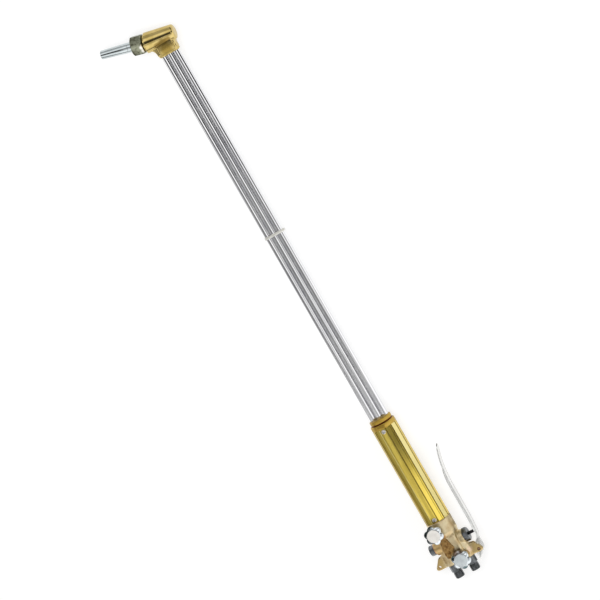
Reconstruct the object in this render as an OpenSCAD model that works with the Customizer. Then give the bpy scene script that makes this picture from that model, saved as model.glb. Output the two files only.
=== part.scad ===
// Long three-tube hand cutting torch for oxygen and a fuel gas such as propane.
// The torch lies on its far side. +X runs along the tubes towards the hose inlets,
// +Y points to the squeeze lever, and +Z points up along the two valve spindles.
// All sizes are in millimetres.

/* [Tubes] */
// Outside diameter of each tube
tube_od = 9.8; // [9:0.1:9.9]
// Wall of each tube
tube_wall = 1.2; // [0.8:0.1:1.6]
// Distance between neighbouring tube axes
tube_pitch = 10; // [9.95:0.05:10.2]
// Length of tube seen between head and handle
tube_show = 605; // [400:1:900]
// Depth of each brazed tube socket
socket_depth = 12; // [8:1:14]

/* [Tube band] */
// Distance from the head to the band round the tubes
band_from_head = 297; // [60:1:380]
// Length of the band along the tubes
band_w = 4; // [3:0.5:10]
// Thickness of the band strip
band_t = 0.8; // [0.6:0.1:1.2]

/* [Head] */
// Angle between the cutting tip and the tubes
head_angle = 76; // [70:1:90]
// Lean of the head barrel from square to the tubes
barrel_lean = 7; // [0:0.5:10]
// Length of the head barrel
barrel_len = 46; // [43:0.5:52]
// Barrel diameter at the tip nut
barrel_nut_d = 30.4; // [29:0.2:32]
// Barrel diameter at the closed back
barrel_back_d = 22.6; // [20:0.2:26]
// Barrel axis at the nut face, ahead of the tube end of the head
nut_face_ahead = 28.9; // [26:0.1:32]
// Barrel axis at the nut face, below the middle tube
nut_face_below = 23.2; // [22:0.1:25]
// Width of the block that takes the tubes
block_w = 33.8; // [32.4:0.2:36]
// Thickness of the block that takes the tubes
block_t = 17; // [15:0.5:20]

/* [Tip and nut] */
// Exposed neck between head barrel and tip nut
neck_show = 3.7; // [2:0.1:6]
// Width of the tip nut across its flats
nut_af = 27; // [26:0.5:30]
// Length of the tip nut
nut_len = 17; // [15:0.5:20]
// Length of cutting tip seen below the nut
tip_show = 48.6; // [30:0.1:70]
// Tip diameter at the nut
tip_root_d = 15.2; // [14:0.1:16]
// Tip diameter at the flame end
tip_end_d = 12.9; // [12:0.1:13.8]
// Number of flame slots round the tip core
flame_slots = 12; // [8:1:16]

/* [Handle] */
// Clearance between the tube row and the sleeve bore
row_clear = 2.1; // [1.8:0.1:2.8]
// Wall of the handle sleeve
handle_wall = 2.05; // [1.9:0.05:2.2]
// Length of the handle sleeve
handle_len = 158; // [120:1:220]
// Facets round the handle sleeve
handle_facets = 12; // [10:2:16]
// Length of each of the two collar tiers
collar_tier = 7.2; // [6:0.1:10]
// Height of the lower collar tier over the handle sleeve
collar_proud = 0.2; // [0:0.1:1]

/* [Body] */
// Height of the body neck over the handle sleeve
neck_proud = 0.45; // [0.2:0.05:1.2]
// Length of the body from the handle to the inlets
body_len = 69.5; // [66:0.5:76]
// Distance from the middle plane to the lever pivot and the spare ear
ear_y = 32.8; // [31:0.1:34]
// Diameter of the pivot pin
pin_d = 5.2; // [4:0.1:5.6]
// Thickness of the forged ears
ear_t = 9.4; // [8.8:0.2:11]
// Distance from each hose inlet axis to the middle plane
inlet_y = 13.1; // [12.5:0.1:14]
// Outside diameter of the inlet threads
inlet_thread_d = 14.28; // [12:0.01:15]
// Length of the inlet threads
inlet_thread_len = 9.5; // [8:0.1:14]

/* [Lever] */
// Width of the lever channel
lever_w = 15; // [13.5:0.5:18]
// Thickness of the lever sheet
lever_t = 1.5; // [1.2:0.1:2]
// Depth of the folded lever flanges
flange_depth = 3.4; // [2.6:0.1:4.5]
// Squeeze angle drawn, zero at rest
lever_angle = 0; // [0:0.5:8]

/* [Valves] */
// Diameter over the knob lobes
knob_d = 29; // [26:0.5:32]
// Number of lobes on a knob
knob_lobes = 6; // [5:1:8]
// Height of the knob's lobed rim
knob_h = 6; // [5:0.5:7.5]
// Diameter of a valve spindle
spindle_d = 6; // [5:0.1:6.4]
// Diameter of the cutting valve push pin
push_pin_d = 4.8; // [4:0.1:5.4]
// Turns of the cutting valve spring
spring_turns = 6; // [4:1:7]

/* [Hidden] */
$fn = 64;
eps = 0.01;
// reach of cuts that go right through
through = 100;
// radial clearance of running fits
run_gap = 0.05;
// gap between moving neighbours
move_gap = 0.3;

// tubes
tube_r = tube_od / 2;
row_half = tube_pitch + tube_r;

// round sections of the handle and body
bore_r = row_half + row_clear;
handle_od = 2 * (bore_r + handle_wall);
collar_d = handle_od + 2 * collar_proud;
neck_d = handle_od + 2 * neck_proud;

// stations along the tubes, measured from the tube end of the head
x_collar = tube_show;
collar_len = 2 * collar_tier;
x_sleeve = x_collar + collar_len;
x_body = x_sleeve + handle_len;
spigot_len = 14;

// height of the flat panels and resting plane
panel_z = handle_od / 2 - 0.75;
rest_z = neck_d / 2;
spigot_r = bore_r - run_gap;
screw_in = 4.6;

// head and tip
tip_lean = 90 - head_angle;
boss_r = 12;
boss_len = neck_show + 12;
seat_root_r = 8.2;
seat_tip_r = 5.6;
seat_len = 15;
shoulder_r = 10.2;
shoulder_t = 3;
core_r = 4.6;
tip_end = neck_show + nut_len + tip_show;

// body stations, measured from the handle end of the body
fuel_valve_x = 13;
cut_valve_x = body_len - 31;
oxygen_valve_x = body_len - 7;
valve_y = 8.8;
pivot_x = body_len - 4.4;
core_half_w = 16;
core_top = 17;
core_corner_r = 5;
arm_r = 9.8;
arm_start = body_len - 25;
waist_x = body_len - 38;
waist_len = 7;
waist_y = 15.5;
neck_len = waist_x - 8;
arm_y = inlet_y + arm_r - 0.2;
cross_boss_r = 10.6;
ridge_low = 4;
ridge_t = 7;

// cutting valve stations along Y
bonnet_seat_y = 22.3;
plug_seat_y = -25.5;
bonnet_af = 19;
bonnet_t = 7.4;
bonnet_thread_r = 7.9;
bonnet_thread_len = 10;
land_half = 3;
land_r = 3.5;
low_chamber_r = 7;
plug_t = 8.6;
plug_af = 14.4;
plug_thread_len = 9;
plug_pocket_r = 5.2;
poppet_r = 5.4;
poppet_t = 3;
poppet_guide_r = 2;
seal_t = 1.2;
pin_collar_r = 4.4;
pin_collar_t = 2;
pin_low_y = 8.4;
gasket_t = 0.8;
spring_r = 4;
spring_wire_r = 0.55;

// preheat valves, heights above the middle plane
boss_top = 21.5;
valve_boss_r = 8.2;
gland_bore_r = 5;
gland_bore_low = 9;
gland_af = 14;
gland_t = 5;
gland_reach = 6.5;
packing_t = 3;
needle_bore_r = 3.1;
needle_bore_low = 1;
orifice_r = 1.2;
orifice_low = -3;
knob_low = boss_top + gland_t + 0.5;
disc_r = 10;
disc_h = 1.2;
cap_t = 1.2;
cap_r = 9.6;
hub_r = 5.6;
knob_screw_r = 2;
needle_lift = 2;

// inlets
inlet_hex_af = 15;
inlet_hex_len = 12.4;
inlet_root_r = 5.5;
inlet_root_len = 4;
inlet_bore_r = 2.4;
filter_r = 3.6;
filter_len = 4.4;
inlet_end = inlet_hex_len + inlet_thread_len;

// ears, whose outer edge stands clear of the pivot hole
ear_slot = 2 * lever_t + 2 * move_gap;
ear_hole_r = pin_d / 2;
ear_front = pivot_x - 13;
ear_shoulder_y = ear_y - 3.6;
ear_tip_x = pivot_x + 1.6;
ear_tip_y = ear_y + 5.8;
ear_round_r = 2.4;
ear_root_y = 10;

// lever stations, measured like the body stations
lever_rear = [pivot_x - 15.6, ear_y + 6.8];
lever_bend_1 = [pivot_x - 22.6, ear_y + 9.3];
lever_bend_2 = [pivot_x - 47.6, ear_y + 10.8];
lever_bend_3 = [pivot_x - 112, ear_y + 11.1];
lever_bend_4 = [pivot_x - 141.4, ear_y + 14.7];
lever_front = [pivot_x - 165.2, ear_y + 22.4];
flange_front_x = pivot_x - 134.6;
flange_rear_x = pivot_x - 21.6;
flange_fade = 24;
tongue_front_x = pivot_x - 23.6;
tongue_rise = 9.4;
tongue_drop = 7;
tail_len = 17.6;
tail_drop = 6.2;
tail_t = 0.8;

// bounding box, which the frame is centred on
tip_end_x = -nut_face_ahead - tip_end * sin(tip_lean);
tip_end_y = -nut_face_below - tip_end * cos(tip_lean);
box_x_low = tip_end_x - tip_end_d / 2 * cos(tip_lean);
box_x_high = x_body + body_len + inlet_end;
box_y_low = tip_end_y - tip_end_d / 2 * sin(tip_lean);
box_y_high = max([for (p = lever_outline()) p[1]]);
mid_x = (box_x_low + box_x_high) / 2;
mid_y = (box_y_low + box_y_high) / 2;

// ---------------------------------------------------------------- helpers

// moves a shape from the torch's own stations into the centred frame
module in_frame() {
    translate([-mid_x, -mid_y, rest_z]) children();
}

// frame whose +Z runs out of the nut face along the cutting tip
module from_nut_face(out = 0) {
    translate([-nut_face_ahead, -nut_face_below, 0])
        rotate([90, 0, -tip_lean])
            translate([0, 0, out]) children();
}

// cylinder along X from a station
module bar_x(x, r, len, y = 0, z = 0) {
    translate([x, y, z]) rotate([0, 90, 0]) cylinder(r = r, h = len);
}

// cylinder along Y from a station in the body
module bar_y(x, y, r, len) {
    translate([x_body + x, y, 0]) rotate([-90, 0, 0]) cylinder(r = r, h = len);
}

// cylinder along Z from a height, at a station in the body
module bar_z(x, y, r, low, high) {
    translate([x_body + x, y, low]) cylinder(r = r, h = high - low);
}

// hexagon prism along Z with its corners turned away at both ends
module chamfered_hex(af, len) {
    corner_r = af / 2 / cos(30);
    cut = corner_r - af / 2;
    intersection() {
        cylinder(r = corner_r, h = len, $fn = 6);
        rotate_extrude()
            polygon([[0, 0], [corner_r - cut, 0], [corner_r, cut * 0.6],
                [corner_r, len - cut * 0.6], [corner_r - cut, len], [0, len]]);
    }
}

// row of three round shapes at the tube axes, as seen from the hose end
module at_tubes() {
    for (i = [-1:1]) translate([0, i * tube_pitch, 0]) children();
}

// outline of the tube row, grown by a margin
module row_outline(margin) {
    for (i = [-1, 1]) translate([0, i * tube_pitch]) circle(r = tube_r + margin);
    square([2 * (tube_r + margin), 2 * tube_pitch], center = true);
}

// extrudes a shape drawn in Y and Z along X
module extrude_x(x, len) {
    translate([x, 0, 0]) rotate([0, 90, 0]) linear_extrude(len) children();
}

// arc of points round a centre
function arc(c, r, a0, a1, n = 8) =
    [for (i = [0:n]) c + r * [cos(a0 + (a1 - a0) * i / n), sin(a0 + (a1 - a0) * i / n)]];

// ---------------------------------------------------------------- head

module barrel() {
    back_r = barrel_back_d / 2;
    nut_r = barrel_nut_d / 2;
    lead = 6;
    lead_r = nut_r + (nut_r - back_r) * lead / barrel_len;
    edge = 2.5;
    translate([-nut_face_ahead, -nut_face_below, 0])
        rotate([-90, 0, -barrel_lean])
            rotate_extrude()
                polygon(concat([[0, -lead], [lead_r, -lead]],
                    arc([back_r - edge, barrel_len - edge], edge, 5, 90),
                    [[0, barrel_len]]));
}

// flared web from the barrel down to the tube block, seen from above
module head_web() {
    fillet = 11;
    half = block_w / 2 - 1;
    web_t = block_t - 2;
    under_x = -nut_face_ahead + barrel_nut_d / 2 - 2.6;
    translate([0, 0, -web_t / 2])
        linear_extrude(web_t)
            polygon(concat([[-nut_face_ahead, half], [-2, half], [-2, -half]],
                arc([under_x + fillet, -half - fillet], fillet, 90, 180, 6),
                [[-nut_face_ahead, -half - fillet]]));
}

module head() color("goldenrod") in_frame() {
    pad = [16, 25, block_t + 3];
    pad_shift = 1.5;
    difference() {
        union() {
            difference() {
                union() {
                    barrel();
                    head_web();
                }
                from_nut_face() translate([-30, -30, 0]) cube([60, 60, 40]);
            }
            extrude_x(-nut_face_ahead + 4, nut_face_ahead - 4) head_block_outline();
            translate([-pad[0] - 1, pad_shift - pad[1] / 2, -pad[2] / 2]) cube(pad);
            from_nut_face(-4) cylinder(r = boss_r, h = boss_len + 4);
        }
        at_tubes() bar_x(-socket_depth, tube_r, socket_depth + 1);
        at_tubes() bar_x(-socket_depth - 5, tube_r - tube_wall, 6);
        from_nut_face(boss_len - seat_len) cylinder(r1 = seat_tip_r, r2 = seat_root_r, h = seat_len);
        from_nut_face(boss_len - seat_len - 8) cylinder(r = 2.2, h = 9);
    }
}

// rounded section of the block, half the thickness as corner radius
module head_block_outline() {
    r = block_t / 2;
    for (i = [-1, 1]) translate([0, i * (block_w / 2 - r)]) circle(r = r);
    square([block_t, block_w - 2 * r], center = true);
}

module tip_nut() color("darkkhaki") in_frame() {
    step = boss_len - neck_show + shoulder_t;
    from_nut_face(neck_show) difference() {
        chamfered_hex(nut_af, nut_len);
        translate([0, 0, -1]) cylinder(r = boss_r, h = step + 1);
        cylinder(r = tip_root_d / 2 + 0.4, h = nut_len + 1);
    }
}

module cutting_tip() color("silver") in_frame() {
    root_r = tip_root_d / 2;
    end_r = tip_end_d / 2;
    base = boss_len - seat_len;
    from_nut_face() rotate_extrude()
        polygon([[core_r, base], [seat_tip_r, base], [seat_root_r, boss_len],
            [shoulder_r, boss_len], [shoulder_r, boss_len + shoulder_t],
            [root_r, boss_len + shoulder_t], [root_r, neck_show + nut_len],
            [end_r, tip_end - 0.6], [end_r, tip_end], [core_r, tip_end]]);
}

module tip_core() color("peru") in_frame() {
    base = boss_len - seat_len;
    recess = 1.5;
    slot = [1.6, 0.9];
    from_nut_face() difference() {
        translate([0, 0, base]) cylinder(r = core_r, h = tip_end - recess - base);
        translate([0, 0, base - 1]) cylinder(r = 1.1, h = tip_end - base + 1);
        for (i = [0:flame_slots - 1])
            rotate(i * 360 / flame_slots)
                translate([core_r - slot[0] / 2, -slot[1] / 2, base + seat_len])
                    cube([slot[0], slot[1], tip_end]);
    }
}

// ---------------------------------------------------------------- tubes

module tube(y) {
    len = socket_depth + tube_show + collar_len + handle_len - 2;
    translate([0, y, 0]) difference() {
        bar_x(-socket_depth, tube_r, len);
        bar_x(-socket_depth - 1, tube_r - tube_wall, len + 2);
    }
}

module fuel_tube() color("gainsboro") in_frame() tube(-tube_pitch);

module preheat_oxygen_tube() color("gainsboro") in_frame() tube(0);

module cutting_oxygen_tube() color("gainsboro") in_frame() tube(tube_pitch);

module tube_band() color("silver") in_frame() {
    crimp = [band_w, 2.6, 2.4];
    extrude_x(band_from_head, band_w) difference() {
        row_outline(band_t);
        row_outline(0);
    }
    translate([band_from_head, row_half + band_t - 0.4, -crimp[2] / 2]) cube(crimp);
}

// ---------------------------------------------------------------- handle

// cuts the two panel flats on a turned part
module with_panels(x, len) {
    intersection() {
        children();
        translate([x, -50, -panel_z]) cube([len, 100, 2 * panel_z]);
    }
}

module handle_collar() color("goldenrod") in_frame() {
    lower_r = collar_d / 2;
    edge = 0.8;
    difference() {
        union() {
            bar_x(x_collar, spigot_r, collar_len + spigot_len);
            with_panels(x_collar, collar_len)
                translate([x_collar, 0, 0]) rotate([0, 90, 0]) rotate_extrude()
                    polygon([[0, 0], [spigot_r - edge, 0], [spigot_r, edge],
                        [spigot_r, collar_tier - 1], [spigot_r - edge, collar_tier],
                        [lower_r - edge, collar_tier], [lower_r, collar_tier + edge],
                        [lower_r, collar_len], [0, collar_len]]);
        }
        at_tubes() bar_x(x_collar - 1, tube_r, collar_len + spigot_len + 2);
        translate([x_sleeve + screw_in, 0, tube_r + 2]) cylinder(r = 2, h = 20);
    }
}

// facets with a narrow rib between neighbours, and wide flat panels up and down
module handle_outline() {
    r = handle_od / 2;
    facet_z = r - 0.85;
    facet_half = 3.9;
    panel_half = 5.2;
    step = 360 / handle_facets;
    difference() {
        circle(r = r);
        for (i = [1:handle_facets - 1])
            if (i * step != 180) rotate(i * step) translate([facet_z, -facet_half]) square([3, 2 * facet_half]);
        for (a = [0, 180])
            rotate(a) translate([panel_z, -panel_half]) square([3, 2 * panel_half]);
    }
}

module handle_sleeve() color("gold") in_frame() difference() {
    extrude_x(x_sleeve, handle_len) handle_outline();
    bar_x(x_sleeve - 1, bore_r, handle_len + 2);
    for (x = [x_sleeve + screw_in, x_body - screw_in])
        translate([x, 0, tube_r]) cylinder(r = 2.2, h = through);
}

module tube_spacer() color("dimgray") in_frame() {
    spacer_t = 8;
    x = x_body - spigot_len - 60;
    difference() {
        bar_x(x, spigot_r, spacer_t);
        at_tubes() bar_x(x - 1, tube_r, spacer_t + 2);
    }
}

module handle_screws() color("silver") in_frame() {
    head_r = 3.4;
    head_t = 1.9;
    shank_low = tube_r + 3;
    for (x = [x_sleeve + screw_in, x_body - screw_in])
        translate([x, 0, 0]) difference() {
            union() {
                translate([0, 0, shank_low]) cylinder(r = 2, h = panel_z - shank_low + eps);
                translate([0, 0, panel_z]) rotate_extrude()
                    polygon([[0, 0], [head_r, 0], [head_r, head_t - 0.9],
                        [head_r - 0.8, head_t], [0, head_t]]);
            }
            for (a = [0, 90])
                rotate(a) translate([-2, -0.45, panel_z + head_t - 1]) cube([4, 0.9, 2]);
        }
}

// ---------------------------------------------------------------- body

// half outline of the forging from the neck back to the inlet arms
module body_plan() {
    neck_y = neck_d / 2;
    side = [[0, neck_y], [neck_len, neck_y], [waist_x, waist_y], [waist_x + waist_len, waist_y],
        [arm_start, arm_y], [body_len, arm_y]];
    other = [for (i = [len(side) - 1:-1:0]) [side[i][0], -side[i][1]]];
    translate([x_body, 0]) polygon(concat(side, other));
}

// section of the rear block, with round arms for the two inlets
module block_section() {
    corner = core_corner_r;
    for (i = [-1, 1]) translate([0, i * inlet_y]) circle(r = arm_r);
    translate([-core_top, -core_half_w + corner]) square([core_top + rest_z, 2 * (core_half_w - corner)]);
    translate([-core_top + corner, -core_half_w]) square([core_top + rest_z - 2 * corner, 2 * core_half_w]);
    for (z = [-core_top + corner, rest_z - corner], i = [-1, 1])
        translate([z, i * (core_half_w - corner)]) circle(r = corner);
}

// forged ear plate on one side
module ear(side) {
    mirror([0, side < 0 ? 1 : 0, 0])
        translate([x_body, 0, -ear_t / 2]) linear_extrude(ear_t)
            polygon(concat([[ear_front, ear_root_y], [ear_front, ear_shoulder_y]],
                arc([ear_tip_x, ear_tip_y - ear_round_r], ear_round_r, 125, 0, 6),
                [[body_len, ear_y], [body_len, ear_root_y]]));
}

module rear_body() color("tan") in_frame() difference() {
    union() {
        bar_x(x_body - spigot_len, spigot_r, spigot_len + 1);
        intersection() {
            union() {
                bar_x(x_body, neck_d / 2, waist_x);
                extrude_x(x_body + neck_len - 4, body_len - neck_len + 4) block_section();
            }
            translate([0, 0, -through]) linear_extrude(2 * through) body_plan();
            translate([x_body, -through, -rest_z]) cube([body_len, 2 * through, 2 * rest_z]);
        }
        bar_y(cut_valve_x, plug_seat_y, cross_boss_r, bonnet_seat_y - plug_seat_y);
        bar_z(fuel_valve_x, -valve_y, valve_boss_r, 0, boss_top);
        intersection() {
            bar_z(oxygen_valve_x, valve_y, valve_boss_r, 0, boss_top);
            translate([x_body, -through, 0]) cube([body_len, 2 * through, through]);
        }
        ridge();
        ear(1);
        ear(-1);
    }
    body_bores();
}

// rough raised ridge between the two preheat valves
module ridge() {
    front = fuel_valve_x + valve_boss_r;
    rear = oxygen_valve_x - valve_boss_r;
    inner_y = valve_y + 1.2;
    translate([x_body, 0, core_top - ridge_low]) linear_extrude(ridge_t)
        polygon([[front + 2, -3], [front + 8, 3], [rear - 4, valve_y],
            [rear + 2, -4], [rear - 4, -inner_y - 2], [waist_x + 4, -inner_y], [front, -inner_y]]);
}

module body_bores() {
    at_tubes() bar_x(x_body - spigot_len - 1, tube_r, spigot_len - 1);
    at_tubes() bar_x(x_body - 3, tube_r - tube_wall, 7);
    translate([x_body - screw_in, 0, tube_r + 2]) cylinder(r = 2, h = 20);
    // cutting valve: spot face, bonnet thread, seat land and spring chamber
    bar_y(cut_valve_x, bonnet_seat_y, bonnet_af / 2 / cos(30) + 0.4, 20);
    bar_y(cut_valve_x, bonnet_seat_y - bonnet_thread_len, bonnet_thread_r, bonnet_thread_len + 1);
    bar_y(cut_valve_x, land_half, pin_collar_r + 1, bonnet_seat_y - land_half);
    bar_y(cut_valve_x, -land_half - 1, land_r, 2 * land_half + 2);
    bar_y(cut_valve_x, plug_seat_y - 1, low_chamber_r, -land_half - plug_seat_y + 1);
    // preheat valves
    for (v = [[fuel_valve_x, -valve_y], [oxygen_valve_x, valve_y]]) {
        bar_z(v[0], v[1], gland_bore_r, gland_bore_low, boss_top + 1);
        bar_z(v[0], v[1], needle_bore_r, needle_bore_low, boss_top);
        bar_z(v[0], v[1], orifice_r, orifice_low, boss_top);
    }
    // inlets
    for (i = [-1, 1]) {
        bar_x(x_body + body_len - inlet_root_len, inlet_root_r, inlet_root_len + 1, i * inlet_y);
        bar_x(x_body + body_len - inlet_root_len - 6, inlet_bore_r, 7, i * inlet_y);
    }
    // pivot holes, and the slots that the lever's tongue fits
    slot_y = arm_y + 0.6;
    for (i = [-1, 1]) {
        translate([x_body + pivot_x, i * ear_y, -through]) cylinder(r = ear_hole_r, h = 2 * through);
        translate([x_body + arm_start, i > 0 ? slot_y : -slot_y - through, -ear_slot / 2])
            cube([through, through, ear_slot]);
    }
}

module inlet(side) {
    translate([x_body + body_len, side * inlet_y, 0]) rotate([0, 90, 0]) difference() {
        union() {
            translate([0, 0, -inlet_root_len]) cylinder(r = inlet_root_r, h = inlet_root_len + 1);
            chamfered_hex(inlet_hex_af, inlet_hex_len - 1.4);
            cylinder(r = inlet_thread_d / 2 - 1, h = inlet_hex_len + 1);
            translate([0, 0, inlet_hex_len]) cylinder(r = inlet_thread_d / 2, h = inlet_thread_len);
        }
        translate([0, 0, -inlet_root_len - 1]) cylinder(r = inlet_bore_r, h = through);
        translate([0, 0, inlet_end - 2.5]) cylinder(r1 = inlet_bore_r, r2 = 4.6, h = 2.5 + eps);
        translate([0, 0, -inlet_root_len - 1]) cylinder(r = filter_r, h = filter_len + 1);
    }
}

module fuel_inlet() color("dimgray") in_frame() inlet(-1);

module oxygen_inlet() color("dimgray") in_frame() inlet(1);

module inlet_filters() color("peru") in_frame() {
    end_t = 0.8;
    for (i = [-1, 1])
        difference() {
            bar_x(x_body + body_len - inlet_root_len, filter_r, filter_len, i * inlet_y);
            bar_x(x_body + body_len - inlet_root_len - 1, filter_r - 1, filter_len + 1 - end_t, i * inlet_y);
        }
}

// ---------------------------------------------------------------- cutting valve

module valve_bonnet() color("dimgray") in_frame() {
    translate([x_body + cut_valve_x, bonnet_seat_y, 0]) rotate([-90, 30, 0]) difference() {
        union() {
            chamfered_hex(bonnet_af, bonnet_t);
            translate([0, 0, -bonnet_thread_len]) cylinder(r = bonnet_thread_r, h = bonnet_thread_len + 1);
        }
        translate([0, 0, -through]) cylinder(r = push_pin_d / 2 + run_gap, h = 2 * through);
        translate([0, 0, -bonnet_thread_len - 1]) cylinder(r = pin_collar_r + 0.4, h = 3.2);
        translate([0, 0, bonnet_t - 4]) cylinder(r = push_pin_d / 2 + 1.6, h = 2);
    }
}

module bonnet_seal() color("black") in_frame() {
    translate([x_body + cut_valve_x, bonnet_seat_y + bonnet_t - 4, 0]) rotate([-90, 0, 0]) difference() {
        cylinder(r = push_pin_d / 2 + 1.6, h = 2);
        translate([0, 0, -1]) cylinder(r = push_pin_d / 2 + run_gap, h = 4);
    }
}

module push_pin() color("black") in_frame() {
    r = push_pin_d / 2;
    top = pin_top_y() - pin_low_y;
    translate([x_body + cut_valve_x, pin_low_y, 0]) rotate([-90, 0, 0]) rotate_extrude()
        polygon(concat([[0, 0], [poppet_guide_r, 0], [poppet_guide_r, 1.6], [pin_collar_r, 1.6],
            [pin_collar_r, 1.6 + pin_collar_t], [r, 1.6 + pin_collar_t]],
            arc([0, top - r], r, 0, 90)));
}

module valve_poppet() color("goldenrod") in_frame() {
    top = pin_low_y;
    base = -land_half - seal_t - poppet_t;
    translate([x_body + cut_valve_x, 0, 0]) rotate([-90, 0, 0]) rotate_extrude()
        polygon([[0, base - 4], [2.6, base - 4], [2.6, base], [poppet_r, base],
            [poppet_r, base + poppet_t], [poppet_guide_r, base + poppet_t],
            [poppet_guide_r, top], [0, top]]);
}

module poppet_seal() color("black") in_frame() {
    bar_y_ring(-land_half - seal_t, poppet_r - 0.2, poppet_guide_r, seal_t);
}

// flat ring round the cutting valve axis
module bar_y_ring(y, outer_r, inner_r, len) {
    difference() {
        bar_y(cut_valve_x, y, outer_r, len);
        bar_y(cut_valve_x, y - 1, inner_r, len + 2);
    }
}

// helical wire between the poppet and the plug
module valve_spring() color("silver") in_frame() {
    sides = 8;
    per_turn = 16;
    high = -land_half - seal_t - poppet_t - spring_wire_r;
    low = plug_seat_y + plug_thread_len - 5 + spring_wire_r;
    rings = spring_turns * per_turn;
    points = [for (i = [0:rings], j = [0:sides - 1])
        let (a = i * 360 / per_turn, b = j * 360 / sides, r = spring_r + spring_wire_r * cos(b))
        [r * cos(a), low + (high - low) * i / rings + spring_wire_r * sin(b), r * sin(a)]];
    faces = concat([[for (j = [0:sides - 1]) j]],
        [for (i = [0:rings - 1], j = [0:sides - 1])
            let (k = (j + 1) % sides)
            [i * sides + j, (i + 1) * sides + j, (i + 1) * sides + k, i * sides + k]],
        [[for (j = [sides - 1:-1:0]) rings * sides + j]]);
    translate([x_body + cut_valve_x, 0, 0]) polyhedron(points, faces);
}

module valve_plug() color("dimgray") in_frame() {
    translate([x_body + cut_valve_x, plug_seat_y - gasket_t, 0]) rotate([90, 30, 0]) difference() {
        union() {
            chamfered_hex(plug_af, plug_t - gasket_t);
            translate([0, 0, -plug_thread_len - gasket_t])
                cylinder(r = low_chamber_r - run_gap, h = plug_thread_len + gasket_t + 1);
        }
        translate([0, 0, -plug_thread_len - gasket_t - 1]) cylinder(r = plug_pocket_r, h = 6);
    }
}

module plug_gasket() color("peru") in_frame() {
    bar_y_ring(plug_seat_y - gasket_t, 8.6, low_chamber_r, gasket_t);
}

// ---------------------------------------------------------------- lever

// corner of a path replaced by a smooth curve that starts a distance before it
function bend(a, p, b, d, n = 6) =
    let (s = p + d * (a - p) / norm(a - p), e = p + d * (b - p) / norm(b - p))
    [for (i = [0:n]) let (t = i / n) (1 - t) * (1 - t) * s + 2 * t * (1 - t) * p + t * t * e];

// middle line of the lever sheet from the pivot end to the free end
function lever_path() = concat([lever_rear],
    bend(lever_rear, lever_bend_1, lever_bend_2, 3.5),
    bend(lever_bend_1, lever_bend_2, lever_bend_3, 9),
    bend(lever_bend_2, lever_bend_3, lever_bend_4, 13),
    bend(lever_bend_3, lever_bend_4, lever_front, 13),
    [lever_front]);

// unit normal at a point of a path, away from the handle
function path_normal(p, i) =
    let (a = p[max(i - 1, 0)], b = p[min(i + 1, len(p) - 1)], d = (b - a) / norm(b - a))
    [d[1], -d[0]];

// path moved sideways
function beside(p, d) = [for (i = [0:len(p) - 1]) p[i] + d * path_normal(p, i)];

// closed outline of a strip along the lever path
function strip(inner, outer) =
    let (p = lever_path(), a = beside(p, outer), b = beside(p, inner))
    concat(a, [for (i = [len(b) - 1:-1:0]) b[i]]);

function lever_outline() = strip(-lever_t / 2, lever_t / 2);

// height of the sheet's inner face over the push pin, less the working gap
function pin_top_y() =
    let (p = lever_bend_1, q = lever_bend_2, f = (p[0] - cut_valve_x) / (p[0] - q[0]))
    p[1] + f * (q[1] - p[1]) - lever_t / 2 - 0.35;

module at_pivot() {
    translate([x_body + pivot_x, ear_y, 0])
        rotate(lever_angle)
            translate([-x_body - pivot_x, -ear_y, 0]) children();
}

module lever() color("whitesmoke") in_frame() at_pivot() difference() {
    translate([x_body, 0, 0]) union() {
        lever_web();
        for (i = [-1, 1]) lever_flange(i);
        lever_tongue();
    }
    translate([x_body + pivot_x, ear_y, -lever_w]) cylinder(r = pin_d / 2 + run_gap, h = 2 * lever_w);
}

// curved sheet with a round free end
module lever_web() {
    end_r = lever_w / 2;
    intersection() {
        translate([0, 0, -lever_w / 2]) linear_extrude(lever_w) polygon(lever_outline());
        union() {
            translate([lever_front[0] + end_r, 0, 0]) rotate([-90, 0, 0]) cylinder(r = end_r, h = through);
            translate([lever_front[0] + end_r, 0, -end_r]) cube([2 * through, through, lever_w]);
        }
    }
}

// stiffening flange folded towards the handle along one edge
module lever_flange(side) {
    z = side > 0 ? lever_w / 2 - lever_t : -lever_w / 2;
    full_x = flange_front_x + flange_fade;
    top = lever_front[1];
    low = lever_bend_3[1] - 2 * flange_depth;
    translate([0, 0, z]) linear_extrude(lever_t) intersection() {
        polygon(strip(lever_t / 2 - flange_depth, 0));
        polygon([[flange_front_x, top], [flange_front_x, lever_bend_4[1] - 0.3],
            [full_x, lever_bend_3[1] - 2.5], [full_x, low], [flange_rear_x - 8, low],
            [flange_rear_x - 8, lever_rear[1] - 0.4], [flange_rear_x, lever_bend_1[1] + 0.9],
            [flange_rear_x, top]]);
    }
}

// doubled tongue between the ears, with a tail behind the pivot
module lever_tongue() {
    rear = lever_rear[1];
    tail = [tail_len, -tail_drop];
    translate([pivot_x, ear_y, -lever_t]) linear_extrude(2 * lever_t)
        polygon([[tongue_front_x - pivot_x, rear - ear_y + 1.4], [-12.6, tongue_rise - 0.4],
            [-1.6, tongue_rise], [2.2, tongue_rise - 1.8], [6.9, 2.4], tail,
            tail - [tail_t, tail_t], [5.3, -tongue_drop], [-1.6, -tongue_drop + 2.2],
            [-7.6, -3.4], [-14.6, rear - ear_y - 3], [-19.6, rear - ear_y]]);
}

module lever_pin() color("gray") in_frame() {
    translate([x_body + pivot_x, ear_y, -ear_t / 2 - 0.3]) difference() {
        cylinder(r = pin_d / 2, h = ear_t + 0.6);
        translate([0, 0, -1]) cylinder(r = pin_d / 2 - 0.9, h = ear_t + 3);
        translate([0, -0.4, -1]) cube([5, 0.8, ear_t + 3]);
    }
}

// ---------------------------------------------------------------- preheat valves

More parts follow.
